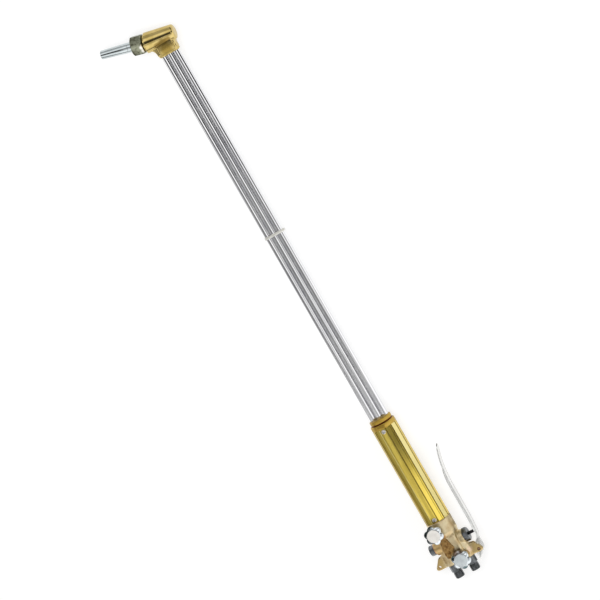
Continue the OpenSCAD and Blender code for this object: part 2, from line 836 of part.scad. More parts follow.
// frame of a valve spindle: the fuel valve sits on the minus side, near the handle
module at_valve(fuel) {
    translate([x_body + (fuel ? fuel_valve_x : oxygen_valve_x), fuel ? -valve_y : valve_y, 0]) children();
}

module spindle() {
    r = spindle_d / 2;
    top = knob_low + knob_h - 1;
    rotate_extrude()
        polygon([[0, needle_bore_low - 1.4], [orifice_r - 0.5, needle_bore_low - 1.2],
            [needle_bore_r - 0.6, needle_bore_low + 3.4], [needle_bore_r - 0.6, gland_bore_low - 1],
            [r, gland_bore_low], [r, top], [0, top]]);
}

module bored_spindle() difference() {
    spindle();
    translate([0, 0, knob_low]) cylinder(r = knob_screw_r, h = 20);
}

module gland_nut() difference() {
    union() {
        translate([0, 0, boss_top]) chamfered_hex(gland_af, gland_t);
        translate([0, 0, boss_top - gland_reach]) cylinder(r = gland_bore_r - run_gap, h = gland_reach + 1);
    }
    cylinder(r = spindle_d / 2 + run_gap, h = through);
}

module packing() translate([0, 0, boss_top - gland_reach - packing_t]) difference() {
    cylinder(r = gland_bore_r - run_gap, h = packing_t);
    translate([0, 0, -1]) cylinder(r = spindle_d / 2 + run_gap, h = packing_t + 2);
}

// plan of the knob: a round middle with round lobes and scallops between
module knob_plan() {
    lobe_r = knob_d * 0.15;
    ring_r = knob_d / 2 - lobe_r;
    difference() {
        union() {
            circle(r = ring_r + 0.6);
            for (i = [0:knob_lobes - 1])
                rotate(i * 360 / knob_lobes) translate([ring_r, 0]) circle(r = lobe_r);
        }
        for (i = [0:knob_lobes - 1])
            rotate((i + 0.5) * 360 / knob_lobes) translate([ring_r + lobe_r, 0]) circle(r = lobe_r * 0.9);
    }
}

module knob() difference() {
    union() {
        translate([0, 0, knob_low]) linear_extrude(knob_h) knob_plan();
        translate([0, 0, knob_low]) cylinder(r = disc_r, h = knob_h + disc_h);
    }
    translate([0, 0, knob_low - 1]) cylinder(r = spindle_d / 2 + run_gap, h = knob_h);
    translate([0, 0, knob_low + knob_h - 1 - eps]) cylinder(r = spindle_d / 2 - 1 + eps, h = 9);
    translate([0, 0, knob_low + knob_h - 0.6]) cylinder(r = hub_r, h = 9);
}

module knob_screw() {
    low = knob_low + 1;
    seat = knob_low + knob_h - 0.6;
    translate([0, 0, low]) cylinder(r = knob_screw_r - run_gap, h = seat - low + eps);
    difference() {
        translate([0, 0, seat]) cylinder(r = 3.6, h = 1.4);
        translate([-3, -0.5, seat + 0.7]) cube([6, 1, 2]);
    }
}

module knob_cap() {
    translate([0, 0, knob_low + knob_h + disc_h]) rotate_extrude()
        polygon([[0, 0], [cap_r, 0], [cap_r, cap_t - 0.5], [cap_r - 0.6, cap_t], [0, cap_t]]);
}

module fuel_spindle() color("silver") in_frame() at_valve(true) bored_spindle();

module oxygen_spindle() color("silver") in_frame() at_valve(false) bored_spindle();

module fuel_gland_nut() color("dimgray") in_frame() at_valve(true) gland_nut();

module oxygen_gland_nut() color("dimgray") in_frame() at_valve(false) gland_nut();

module fuel_packing() color("white") in_frame() at_valve(true) packing();

module oxygen_packing() color("white") in_frame() at_valve(false) packing();

module fuel_knob() color("lightgray") in_frame() at_valve(true) knob();

module oxygen_knob() color("lightgray") in_frame() at_valve(false) knob();

module fuel_knob_screw() color("gray") in_frame() at_valve(true) knob_screw();

module oxygen_knob_screw() color("gray") in_frame() at_valve(false) knob_screw();

module fuel_knob_cap() color("white") in_frame() at_valve(true) knob_cap();

module oxygen_knob_cap() color("white") in_frame() at_valve(false) knob_cap();

head();
tip_nut();
cutting_tip();
tip_core();
fuel_tube();
preheat_oxygen_tube();
cutting_oxygen_tube();
tube_band();
handle_collar();
handle_sleeve();
tube_spacer();
handle_screws();
rear_body();
fuel_inlet();
oxygen_inlet();
inlet_filters();
valve_bonnet();
bonnet_seal();
push_pin();
valve_poppet();
poppet_seal();
valve_spring();
valve_plug();
plug_gasket();
lever();
lever_pin();
fuel_spindle();
fuel_gland_nut();
fuel_packing();
fuel_knob();
fuel_knob_screw();
fuel_knob_cap();
oxygen_spindle();
oxygen_gland_nut();
oxygen_packing();
oxygen_knob();
oxygen_knob_screw();
oxygen_knob_cap();
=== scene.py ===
"""Visual model of a long three-tube hand cutting torch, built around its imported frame.

Pieces are modelled in millimetres at the torch's own stations: x runs from the tube end of
the head to the hose inlets, y to the squeeze lever and z up along the two valve spindles.
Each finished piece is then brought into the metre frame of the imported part.
"""

from __future__ import annotations

import logging
import math
from dataclasses import dataclass
from enum import Enum
from typing import Callable, Iterable, Sequence

import bpy  # noqa: E402
from mathutils import Euler, Matrix, Vector  # noqa: E402


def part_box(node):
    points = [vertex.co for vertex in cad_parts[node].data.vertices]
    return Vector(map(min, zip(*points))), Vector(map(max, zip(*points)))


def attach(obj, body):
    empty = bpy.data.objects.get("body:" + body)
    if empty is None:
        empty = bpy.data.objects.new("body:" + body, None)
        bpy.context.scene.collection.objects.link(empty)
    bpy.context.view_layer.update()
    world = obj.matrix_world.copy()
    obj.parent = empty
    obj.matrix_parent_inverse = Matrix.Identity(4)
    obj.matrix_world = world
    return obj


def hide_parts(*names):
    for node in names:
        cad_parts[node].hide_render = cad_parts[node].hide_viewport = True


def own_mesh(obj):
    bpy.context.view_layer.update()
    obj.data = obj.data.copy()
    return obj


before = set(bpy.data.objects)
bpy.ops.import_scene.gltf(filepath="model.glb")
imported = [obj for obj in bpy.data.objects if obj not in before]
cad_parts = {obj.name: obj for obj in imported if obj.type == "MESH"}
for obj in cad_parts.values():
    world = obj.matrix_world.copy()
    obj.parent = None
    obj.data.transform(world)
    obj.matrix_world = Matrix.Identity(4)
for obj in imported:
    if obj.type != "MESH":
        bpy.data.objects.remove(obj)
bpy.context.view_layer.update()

LOG = logging.getLogger("torch")
MM = 0.001
Point = tuple[float, float, float]
Profile = Sequence[tuple[float, float]]


class Axis(Enum):
    """Direction that a turned or extruded piece points to."""

    X = Euler((0.0, math.pi / 2, 0.0))
    Y = Euler((-math.pi / 2, 0.0, 0.0))
    MINUS_Y = Euler((math.pi / 2, 0.0, 0.0))
    Z = Euler((0.0, 0.0, 0.0))


class Body(Enum):
    """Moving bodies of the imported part."""

    TORCH = "torch"
    LEVER = "lever"
    CUTTING_VALVE = "cutting_valve"
    FUEL_KNOB = "fuel_knob"
    OXYGEN_KNOB = "oxygen_knob"


def stations_to_frame() -> Matrix:
    """Gives the matrix from the torch's stations in millimetres to the metre frame.

    Returns:
        The matrix, placed by the boxes of the outer and the middle tube.
    """
    low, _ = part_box("fuel_tube")
    mid_low, mid_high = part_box("preheat_oxygen_tube")
    socket_depth = 12 * MM
    origin = (low.x + socket_depth, (mid_low.y + mid_high.y) / 2, (mid_low.z + mid_high.z) / 2)
    return Matrix.Translation(origin) @ Matrix.Scale(MM, 4)


TO_FRAME = stations_to_frame()


# ---------------------------------------------------------------- finishes


@dataclass(frozen=True)
class Finish:
    """A metal or moulded finish with its own tone drift and grain, and zones of other colour, most of
    them painted highlights, painted reflections and painted shade.

    Attributes:
        name: Name of the material.
        colour: Main colour, linear.
        deep: Colour of the darker patches.
        metallic: 1 for bare or plated metal.
        rough: Roughness of the clean surface.
        rough_spread: How far the roughness drifts.
        patch: Patches per metre of the tone drift.
        grain: Fine grains per metre.
        bump: Strength of the fine grain's relief.
        stretch: Scale of the grain along x, y and z.
        zones: Centre in stations, radius and colour of each zone; most zones are painted highlights,
            painted reflections and painted shade, a few are tones of the part.
    """

    name: str
    colour: Point
    deep: Point
    metallic: float = 1.0
    rough: float = 0.25
    rough_spread: float = 0.08
    patch: float = 60.0
    grain: float = 2500.0
    bump: float = 0.05
    stretch: Point = (1.0, 1.0, 1.0)
    zones: tuple[tuple[Point, float, Point], ...] = ()

    def material(self) -> bpy.types.Material:
        """Builds the node material, once.

        Returns:
            The material.
        """
        own = f"finish_{self.name}"
        known = bpy.data.materials.get(own)
        if known:
            return known
        mat = bpy.data.materials.new(own)
        mat.use_nodes = True
        nodes, links = mat.node_tree.nodes, mat.node_tree.links
        shader = nodes["Principled BSDF"]
        shader.inputs["Metallic"].default_value = self.metallic
        place = nodes.new("ShaderNodeTexCoord")
        lay = nodes.new("ShaderNodeMapping")
        lay.inputs["Scale"].default_value = self.stretch
        links.new(place.outputs["Object"], lay.inputs["Vector"])
        patches = self._noise(mat, place.outputs["Object"], self.patch, 4.0)
        grain = self._noise(mat, lay.outputs["Vector"], self.grain, 2.0)
        tone = nodes.new("ShaderNodeMix")
        tone.data_type = "RGBA"
        tone.inputs["A"].default_value = (*self.deep, 1.0)
        tone.inputs["B"].default_value = (*self.colour, 1.0)
        spread = nodes.new("ShaderNodeMapRange")
        spread.inputs["From Min"].default_value = 0.36
        spread.inputs["From Max"].default_value = 0.58
        links.new(patches, spread.inputs["Value"])
        links.new(spread.outputs["Result"], tone.inputs["Factor"])
        colour = tone.outputs["Result"]
        for centre, radius, other in self.zones:
            colour = self._zone(mat, place.outputs["Object"], patches, colour, centre, radius, other)
        links.new(colour, shader.inputs["Base Color"])
        sheen = nodes.new("ShaderNodeMapRange")
        sheen.inputs["To Min"].default_value = max(self.rough - self.rough_spread, 0.02)
        sheen.inputs["To Max"].default_value = self.rough + self.rough_spread
        links.new(grain, sheen.inputs["Value"])
        links.new(sheen.outputs["Result"], shader.inputs["Roughness"])
        relief = nodes.new("ShaderNodeBump")
        relief.inputs["Strength"].default_value = self.bump
        relief.inputs["Distance"].default_value = 0.0002
        links.new(grain, relief.inputs["Height"])
        links.new(relief.outputs["Normal"], shader.inputs["Normal"])
        return mat

    @staticmethod
    def _zone(
        mat: bpy.types.Material, place: bpy.types.NodeSocket, patches: bpy.types.NodeSocket,
        under: bpy.types.NodeSocket, centre: Point, radius: float, colour: Point,
    ) -> bpy.types.NodeSocket:
        """Blends another colour into the colour round one point, with a ragged border; most zones paint a
        highlight, a reflection or shade this way.

        Args:
            mat: The material it goes into.
            place: Object coordinates.
            patches: The noise that makes the border ragged.
            under: The colour so far.
            centre: The point, in stations.
            radius: Radius of the place in millimetres.
            colour: Its colour.

        Returns:
            The blended colour.
        """
        nodes, links = mat.node_tree.nodes, mat.node_tree.links
        reach = nodes.new("ShaderNodeVectorMath")
        reach.operation = "DISTANCE"
        reach.inputs[1].default_value = TO_FRAME @ Vector(centre)
        links.new(place, reach.inputs[0])
        rag = nodes.new("ShaderNodeMath")
        rag.operation = "MULTIPLY_ADD"
        rag.inputs[1].default_value = radius * MM * 0.9
        links.new(patches, rag.inputs[0])
        links.new(reach.outputs["Value"], rag.inputs[2])
        share = nodes.new("ShaderNodeMapRange")
        share.inputs["From Min"].default_value = radius * MM * 1.65
        share.inputs["From Max"].default_value = radius * MM * 1.05
        links.new(rag.outputs["Value"], share.inputs["Value"])
        blend = nodes.new("ShaderNodeMix")
        blend.data_type = "RGBA"
        links.new(share.outputs["Result"], blend.inputs["Factor"])
        links.new(under, blend.inputs["A"])
        blend.inputs["B"].default_value = (*colour, 1)
        return blend.outputs["Result"]

    @staticmethod
    def _noise(
        mat: bpy.types.Material, vector: bpy.types.NodeSocket, scale: float, detail: float
    ) -> bpy.types.NodeSocket:
        """Adds a noise texture.

        Args:
            mat: The material it goes into.
            vector: The coordinates it reads.
            scale: Its scale.
            detail: Its octaves.

        Returns:
            The socket with its value.
        """
        noise = mat.node_tree.nodes.new("ShaderNodeTexNoise")
        noise.inputs["Scale"].default_value = scale
        noise.inputs["Detail"].default_value = detail
        mat.node_tree.links.new(vector, noise.inputs["Vector"])
        return noise.outputs["Fac"]


BRASS = Finish(
    "forged_brass", (0.62, 0.48, 0.19), (0.52, 0.39, 0.13), rough=0.12, rough_spread=0.04, patch=90,
    grain=1500, bump=0.04,
    # zones: painted shade, a dark patch over the pad and a dark band in the crease where the pad meets
    # the barrel
    zones=(
        ((-8.5, 1.5, 9.0), 11.5, (0.36, 0.25, 0.06)), ((-18.5, -10.0, 9.0), 4.5, (0.36, 0.26, 0.08)),
        ((-19.0, -6.5, 9.0), 5.0, (0.27, 0.18, 0.05)), ((-19.0, -3.0, 9.0), 5.5, (0.2, 0.13, 0.03)),
        ((-19.0, 0.5, 9.0), 5.5, (0.18, 0.12, 0.03)), ((-19.0, 4.0, 9.0), 5.5, (0.18, 0.12, 0.03)),
        ((-19.0, 7.5, 9.0), 5.0, (0.2, 0.13, 0.03)), ((-19.0, 11.0, 9.0), 4.5, (0.27, 0.18, 0.05)),
    ),
)
TAN_BRASS = Finish(
    "tan_brass", (0.76, 0.65, 0.42), (0.62, 0.47, 0.26), rough=0.42, patch=90, grain=1800, bump=0.25,
    # zones: darker tones of the part, then painted shade, a painted shadow, a painted highlight and a
    # painted reflection, noted line by line
    zones=(
        # a darker tone on both ears
        ((838.0, 32.0, 0.0), 13.0, (0.62, 0.46, 0.2)), ((838.0, -32.0, 0.0), 13.0, (0.58, 0.42, 0.18)),
        # a darker tone on the fuel side's arm; painted shade under the fuel knob
        ((816.0, -16.0, 10.0), 15.0, (0.6, 0.42, 0.19)), ((800.0, -2.0, 20.0), 5.0, (0.4, 0.2, 0.07)),
        # painted shadow of the oxygen knob on the body; painted highlight on the lever side's arm
        ((833.0, 4.0, 16.0), 9.0, (0.16, 0.09, 0.03)), ((836.0, 22.0, 8.0), 5.0, (0.85, 0.66, 0.48)),
        # painted dark reflection along the lever side of the neck
        ((781.0, 20.0, 0.0), 6.0, (0.3, 0.23, 0.11)), ((791.0, 20.0, 0.0), 6.0, (0.3, 0.23, 0.11)),
    ),
)
ROUGH_BRASS = Finish(
    "rough_brass", (0.44, 0.27, 0.1), (0.2, 0.1, 0.03), rough=0.5, patch=260, grain=900, bump=0.7
)
NICKEL = Finish(
    "nickel", (0.28, 0.29, 0.21), (0.11, 0.11, 0.07), rough=0.24, patch=220, bump=0.1,
    # zones: two painted highlights on the tip nut's flats
    zones=(((-27.0, -28.6, 11.5), 4.2, (0.85, 0.82, 0.76)), ((-22.0, -29.5, 9.0), 3.5, (0.8, 0.77, 0.7))),
)
TIP_CHROME = Finish("tip_chrome", (0.6, 0.65, 0.66), (0.52, 0.57, 0.58), rough=0.12, patch=60, bump=0.01)
STAINLESS = Finish(
    "stainless_tube", (0.83, 0.83, 0.84), (0.77, 0.77, 0.79), rough=0.07, rough_spread=0.03,
    patch=25, grain=1500, bump=0.01, stretch=(0.02, 1, 1),
)
SHEET = Finish(
    "stainless_sheet", (0.88, 0.88, 0.86), (0.8, 0.8, 0.78), metallic=0.85, rough=0.28, patch=35,
    grain=2200, bump=0.05, stretch=(0.05, 1, 1),
)
GOLD = Finish(
    "gold_anodised", (0.82, 0.64, 0.13), (0.74, 0.56, 0.1), rough=0.3, patch=20,
    grain=2600, bump=0.05, stretch=(0.03, 1, 1),
)
# painted shade: the near-black colour of the handle's grooves
GROOVE_SHADE_GOLD = Finish("groove_painted_shade", (0.16, 0.11, 0.02), (0.11, 0.07, 0.015), rough=0.5, patch=40)
# painted highlight: a pale gold for the facets on the lever's side and the rib beside the panel
PAINTED_HIGHLIGHT_GOLD = Finish(
    "gold_painted_highlight", (0.95, 0.84, 0.37), (0.93, 0.8, 0.32), metallic=0.12, rough=0.34, patch=20,
    grain=2600, bump=0.05, stretch=(0.03, 1, 1),
)
# painted shade: a darker gold for the facets that face away from the lever
PAINTED_SHADE_GOLD = Finish(
    "gold_painted_shade", (0.66, 0.51, 0.1), (0.56, 0.42, 0.08), rough=0.32, patch=20,
    grain=2600, bump=0.05, stretch=(0.03, 1, 1),
)
COLLAR_GOLD = Finish(
    "collar_gold", (0.52, 0.35, 0.07), (0.44, 0.28, 0.05), rough=0.42, patch=30, bump=0.05
)
# painted shade: the dark red of the groove between the collar's tiers
COLLAR_GROOVE_SHADE = Finish("collar_line_painted_shade", (0.22, 0.06, 0.015), (0.12, 0.03, 0.01), rough=0.5, patch=60)
DARK_STEEL = Finish("dark_steel", (0.2, 0.21, 0.22), (0.11, 0.12, 0.12), rough=0.28, patch=120)
BAND_STEEL = Finish("band_steel", (0.86, 0.85, 0.8), (0.7, 0.69, 0.64), rough=0.55, patch=300)
STEEL = Finish("zinc_steel", (0.62, 0.6, 0.57), (0.5, 0.47, 0.44), rough=0.26, patch=140)
BLACK_STEEL = Finish("black_steel", (0.03, 0.03, 0.032), (0.015, 0.015, 0.016), rough=0.3)
COPPER = Finish("copper", (0.7, 0.35, 0.2), (0.5, 0.23, 0.12), rough=0.3, patch=160)
WARM_DISC = Finish(
    "warm_disc", (0.84, 0.81, 0.76), (0.76, 0.73, 0.68), metallic=0.1, rough=0.42, patch=130
)
COOL_DISC = Finish(
    "cool_disc", (0.6, 0.65, 0.66), (0.5, 0.54, 0.56), metallic=0.3, rough=0.38, patch=130
)
FUEL_RIM = Finish(
    "fuel_rim", (0.74, 0.78, 0.8), (0.6, 0.64, 0.66), rough=0.14, patch=140, bump=0.01,
    # zones: painted dark reflections on the chrome lobes of the fuel knob
    zones=(
        ((781.0, -18.0, 30.0), 9.0, (0.03, 0.04, 0.04)), ((793.0, -23.0, 30.0), 8.5, (0.05, 0.06, 0.06)),
        ((801.0, -18.0, 30.0), 6.0, (0.16, 0.17, 0.17)), ((777.0, -9.0, 30.0), 4.5, (0.04, 0.05, 0.05)),
    ),
)
OXYGEN_RIM = Finish(
    "oxygen_rim", (0.7, 0.74, 0.76), (0.55, 0.6, 0.62), rough=0.14, patch=140, bump=0.01,
    # zones: painted dark reflections on the chrome lobes of the oxygen knob
    zones=(
        ((828.0, 6.0, 30.0), 6.5, (0.2, 0.15, 0.12)), ((831.0, -2.0, 30.0), 5.5, (0.03, 0.06, 0.07)),
        ((829.0, 14.0, 30.0), 4.0, (0.1, 0.06, 0.04)), ((853.0, 9.0, 30.0), 5.0, (0.1, 0.14, 0.15)),
    ),
)
# painted shade: dark grey for the lever's edges and free end, standing for dark reflections there
EDGE = Finish("lever_edge_painted_shade", (0.26, 0.26, 0.25), (0.16, 0.16, 0.16), rough=0.4, patch=90)
BRONZE = Finish("bronze_pin", (0.3, 0.15, 0.06), (0.16, 0.08, 0.03), rough=0.35, patch=160)
RUBBER = Finish("rubber", (0.02, 0.02, 0.02), (0.03, 0.03, 0.03), metallic=0.0, rough=0.7)
PTFE = Finish("ptfe", (0.8, 0.8, 0.77), (0.7, 0.7, 0.67), metallic=0.0, rough=0.5)
SPACER = Finish("spacer_plastic", (0.05, 0.05, 0.052), (0.03, 0.03, 0.03), metallic=0.0, rough=0.5)


# ---------------------------------------------------------------- modelling


class Workpiece:
    """One object on the bench, shaped with Blender's own modelling tools."""

    def __init__(self, name: str) -> None:
        """Takes the active object as the piece.

        Args:
            name: Name of the piece.
        """
        self.obj = bpy.context.view_layer.objects.active
        self.obj.name = name
        self.obj.data.name = name

    # starting shapes

    @classmethod
    def cylinder(
        cls, name: str, radius: float, depth: float, at: Point = (0, 0, 0),
        axis: Axis = Axis.Z, sides: int = 64,
    ) -> Workpiece:
        """Adds a cylinder that starts at a point and runs along an axis.

        Args:
            name: Name of the piece.
            radius: Its radius.
            depth: Its length.
            at: Centre of its first end.
            axis: The way it points.
            sides: Faces round it.

        Returns:
            The piece.
        """
        bpy.ops.object.select_all(action="DESELECT")
        middle = Vector(at) + axis.value.to_matrix() @ Vector((0, 0, depth / 2))
        bpy.ops.mesh.primitive_cylinder_add(
            vertices=sides, radius=radius, depth=depth, location=middle, rotation=axis.value
        )
        piece = cls(name)
        piece.settle()
        return piece

    @classmethod
    def block(cls, name: str, low: Point, high: Point) -> Workpiece:
        """Adds a box between two corners.

        Args:
            name: Name of the piece.
            low: Lowest corner.
            high: Highest corner.

        Returns:
            The piece.
        """
        bpy.ops.object.select_all(action="DESELECT")
        size = Vector(high) - Vector(low)
        bpy.ops.mesh.primitive_cube_add(size=1, location=(Vector(high) + Vector(low)) / 2)
        bpy.context.object.scale = size
        piece = cls(name)
        piece.settle()
        return piece

    @classmethod
    def turned(
        cls, name: str, profile: Profile, at: Point = (0, 0, 0), axis: Axis = Axis.Z,
        sides: int = 64, ring: bool = False,
    ) -> Workpiece:
        """Turns a profile: a circle is extruded and resized from station to station.

        Args:
            name: Name of the piece.
            profile: Pairs of station along the axis and radius.
            at: Point that the stations are measured from.
            axis: The way the stations run.
            sides: Faces round it.
            ring: True if the profile comes back to its start, as in a tube.

        Returns:
            The piece.
        """
        bpy.ops.object.select_all(action="DESELECT")
        start, radius = profile[0]
        bpy.ops.mesh.primitive_circle_add(
            vertices=sides, radius=radius, location=(0, 0, start),
            fill_type="NOTHING" if ring else "NGON",
        )
        piece = cls(name)
        piece.settle()
        bpy.ops.object.mode_set(mode="EDIT")
        bpy.ops.mesh.select_mode(type="EDGE" if ring else "FACE")
        bpy.ops.mesh.select_all(action="SELECT")
        for station, size in profile[1:]:
            if ring:
                bpy.ops.mesh.extrude_edges_move()
            else:
                bpy.ops.mesh.extrude_region_move()
            bpy.ops.transform.translate(value=(0, 0, station - start))
            scale = size / radius
            bpy.ops.transform.resize(value=(scale, scale, 1), center_override=(0, 0, station))
            start, radius = station, size
        bpy.ops.mesh.select_all(action="SELECT")
        bpy.ops.mesh.remove_doubles(threshold=1e-4)
        bpy.ops.mesh.normals_make_consistent(inside=False)
        bpy.ops.object.mode_set(mode="OBJECT")
        piece.turn_to(axis, at)
        return piece

    @classmethod
    def plate(
        cls, name: str, outline: Sequence[tuple[float, float]], low: float, high: float
    ) -> Workpiece:
        """Lays out a flat outline from a grid corner by corner and extrudes it up.

        Args:
            name: Name of the piece.
            outline: Corners in x and y, in order.
            low: Height of its underside.
            high: Height of its top.

        Returns:
            The piece.
        """
        bpy.ops.object.select_all(action="DESELECT")
        bpy.ops.mesh.primitive_circle_add(
            vertices=len(outline), radius=1, location=(0, 0, 0), fill_type="NGON"
        )
        piece = cls(name)
        for vertex, corner in zip(piece.obj.data.vertices, outline):
            vertex.co = (*corner, low)
        bpy.ops.object.mode_set(mode="EDIT")
        bpy.ops.mesh.select_mode(type="FACE")
        bpy.ops.mesh.select_all(action="SELECT")
        bpy.ops.mesh.extrude_region_move()
        bpy.ops.transform.translate(value=(0, 0, high - low))
        bpy.ops.mesh.select_all(action="SELECT")
        bpy.ops.mesh.normals_make_consistent(inside=False)
        bpy.ops.object.mode_set(mode="OBJECT")
        return piece

    # placing

    def activate(self) -> Workpiece:
        """Selects this piece alone and makes it active.

        Returns:
            The piece.
        """
        bpy.ops.object.select_all(action="DESELECT")
        self.obj.select_set(True)
        bpy.context.view_layer.objects.active = self.obj
        return self

    def settle(self) -> Workpiece:
        """Puts the object's place, turn and scale into its mesh.

        Returns:
            The piece.
        """
        self.activate()
        bpy.ops.object.transform_apply(location=True, rotation=True, scale=True)
        return self

    def turn_to(self, axis: Axis, at: Point) -> Workpiece:
        """Turns the piece from +Z to an axis and moves its origin to a point.

        Args:
            axis: The way it points.
            at: The point.

        Returns:
            The piece.
        """
        self.obj.rotation_euler = axis.value
        self.obj.location = at
        return self.settle()

    def place(self, matrix: Matrix) -> Workpiece:
        """Applies a matrix to the mesh."""
        self.obj.matrix_world = matrix
        return self.settle()

    # shaping

    def select_faces(self, wanted: Callable[[Vector, Vector], bool]) -> int:
        """Selects the faces that a test on their centre and normal wants, in edit mode.

        Args:
            wanted: The test.

        Returns:
            How many faces are selected.
        """
        self.activate()
        bpy.ops.object.mode_set(mode="EDIT")
        bpy.ops.mesh.select_mode(type="FACE")
        bpy.ops.mesh.select_all(action="DESELECT")
        bpy.ops.object.mode_set(mode="OBJECT")
        count = 0
        for face in self.obj.data.polygons:
            face.select = wanted(face.center, face.normal)
            count += face.select
        bpy.ops.object.mode_set(mode="EDIT")
        return count

    def select_vertices(self, wanted: Callable[[Vector], bool]) -> int:
        """Selects the vertices that a test on their place wants, in edit mode.

        Args:
            wanted: The test.

        Returns:
            How many vertices are selected.
        """
        self.activate()
        bpy.ops.object.mode_set(mode="EDIT")
        bpy.ops.mesh.select_mode(type="VERT")
        bpy.ops.mesh.select_all(action="DESELECT")
        bpy.ops.object.mode_set(mode="OBJECT")
        count = 0
        for vertex in self.obj.data.vertices:
            vertex.select = wanted(vertex.co)
            count += vertex.select
        bpy.ops.object.mode_set(mode="EDIT")
        return count

    def done(self) -> Workpiece:
        """Leaves edit mode."""
        bpy.ops.object.mode_set(mode="OBJECT")
        return self

    def bevel_edges(
        self, width: float, steps: int, wanted: Callable[[Vector, Vector], bool]
    ) -> Workpiece:
        """Bevels the edges whose two ends pass a test.

        Args:
            width: Width of the bevel.
            steps: Segments across it.
            wanted: Test on the two end points.

        Returns:
            The piece.
        """
        self.activate()
        bpy.ops.object.mode_set(mode="EDIT")
        bpy.ops.mesh.select_mode(type="EDGE")
        bpy.ops.mesh.select_all(action="DESELECT")
        bpy.ops.object.mode_set(mode="OBJECT")
        mesh = self.obj.data
        for edge in mesh.edges:
            a, b = (mesh.vertices[i].co for i in edge.vertices)
            edge.select = wanted(a, b)
        bpy.ops.object.mode_set(mode="EDIT")
        bpy.ops.mesh.bevel(offset=width, segments=steps, affect="EDGES", clamp_overlap=True)
        return self.done()

    def modify(self, kind: str, **settings: object) -> Workpiece:
        """Adds a modifier with its settings and applies it.

        Args:
            kind: The modifier's type.
            **settings: Its values.

        Returns:
            The piece.
        """
        self.activate()
        modifier = self.obj.modifiers.new(kind.title(), kind)
        for key, value in settings.items():
            setattr(modifier, key, value)
        bpy.ops.object.modifier_apply(modifier=modifier.name)
        return self

    def round_edges(self, width: float, steps: int = 2, angle: float = 35.0) -> Workpiece:
        """Rounds every edge sharper than an angle in degrees.

        Args:
            width: Width of the bevel.
            steps: Segments across it.
            angle: The angle.

        Returns:
            The piece.
        """
        return self.modify(
            "BEVEL", width=width, segments=steps, limit_method="ANGLE",
            angle_limit=math.radians(angle), use_clamp_overlap=True,
        )

    def _combine(self, tool: Workpiece, operation: str) -> Workpiece:
        """Applies a boolean with another piece, which is used up.

        Args:
            tool: The other piece.
            operation: The boolean's kind.

        Returns:
            The piece.
        """
        self.modify("BOOLEAN", operation=operation, object=tool.obj, solver="EXACT")
        bpy.data.objects.remove(tool.obj)
        return self

    def cut(self, *tools: Workpiece) -> Workpiece:
        """Cuts other pieces out of this one.

        Args:
            *tools: The other pieces, which are used up.

        Returns:
            The piece.
        """
        for tool in tools:
            self._combine(tool, "DIFFERENCE")
        return self

    def keep_inside(self, tool: Workpiece) -> Workpiece:
        """Keeps only what lies inside another piece."""
        return self._combine(tool, "INTERSECT")

    def fuse(self, *tools: Workpiece) -> Workpiece:
        """Fuses other pieces into this one.

        Args:
            *tools: The other pieces, which are used up.

        Returns:
            The piece.
        """
        for tool in tools:
            self._combine(tool, "UNION")
        return self

    def join(self, *others: Workpiece) -> Workpiece:
        """Joins other meshes to this one as they are.

        Args:
            *others: The other pieces.

        Returns:
            The piece.
        """
        self.activate()
        for other in others:
            other.obj.select_set(True)
        bpy.ops.object.join()
        return self

    def copy(self, name: str) -> Workpiece:
        """Gives a copy with its own mesh.

        Args:
            name: Name of the copy.

        Returns:
            The copy.
        """
        self.activate()
        bpy.ops.object.duplicate()
        return Workpiece(name)

    def cast(self, voxel: float, smooth: int = 4, factor: float = 0.5) -> Workpiece:
        """Melts joined shapes into one skin with soft corners, as in a casting.

        Args:
            voxel: Size of the cells.
            smooth: Rounds of smoothing.
            factor: Strength of each round.

        Returns:
            The piece.
        """
        self.modify("REMESH", mode="VOXEL", voxel_size=voxel, use_smooth_shade=True)
        if smooth:
            self.modify("SMOOTH", factor=factor, iterations=smooth)
        return self

    # finishing

    def tint(self, finish: Finish, wanted: Callable[[Vector, Vector], bool]) -> Workpiece:
        """Gives the faces that a test wants a finish of their own.

        Args:
            finish: The finish.
            wanted: Test on a face's centre and normal.

        Returns:
            The piece.
        """
        self.obj.data.materials.append(finish.material())
        self.select_faces(wanted)
        self.obj.active_material_index = len(self.obj.data.materials) - 1
        bpy.ops.object.material_slot_assign()
        return self.done()

    def complete(
        self, finish: Finish, body: Body, slot: str, replaces: Iterable[str] = (),
        smooth: float = 35.0,
    ) -> bpy.types.Object:
        """Brings the piece into the metre frame and dresses it.

        Args:
            finish: Its finish.
            body: The body it rides on.
            slot: The record's material slot; not used.
            replaces: CAD nodes that it stands for.
            smooth: Largest angle in degrees that is shaded smooth.

        Returns:
            The finished object.
        """
        self.place(TO_FRAME)
        self.activate()
        bpy.ops.object.shade_smooth_by_angle(angle=math.radians(smooth))
        self.obj.data.materials.clear()
        self.obj.data.materials.append(finish.material())
        for node in replaces:
            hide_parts(node)
        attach(self.obj, body.value)
        count = sum(len(f.vertices) - 2 for f in self.obj.data.polygons)
        LOG.info("%s: %d triangles on %s", self.obj.name, count, body.value)
        return self.obj


def dress(node: str, finish: Finish) -> None:
    """Gives a finish to a CAD node that stays as it is.

    Args:
        node: Name of the node.
        finish: Its finish.
    """
    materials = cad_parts[node].data.materials
    materials.clear()
    materials.append(finish.material())


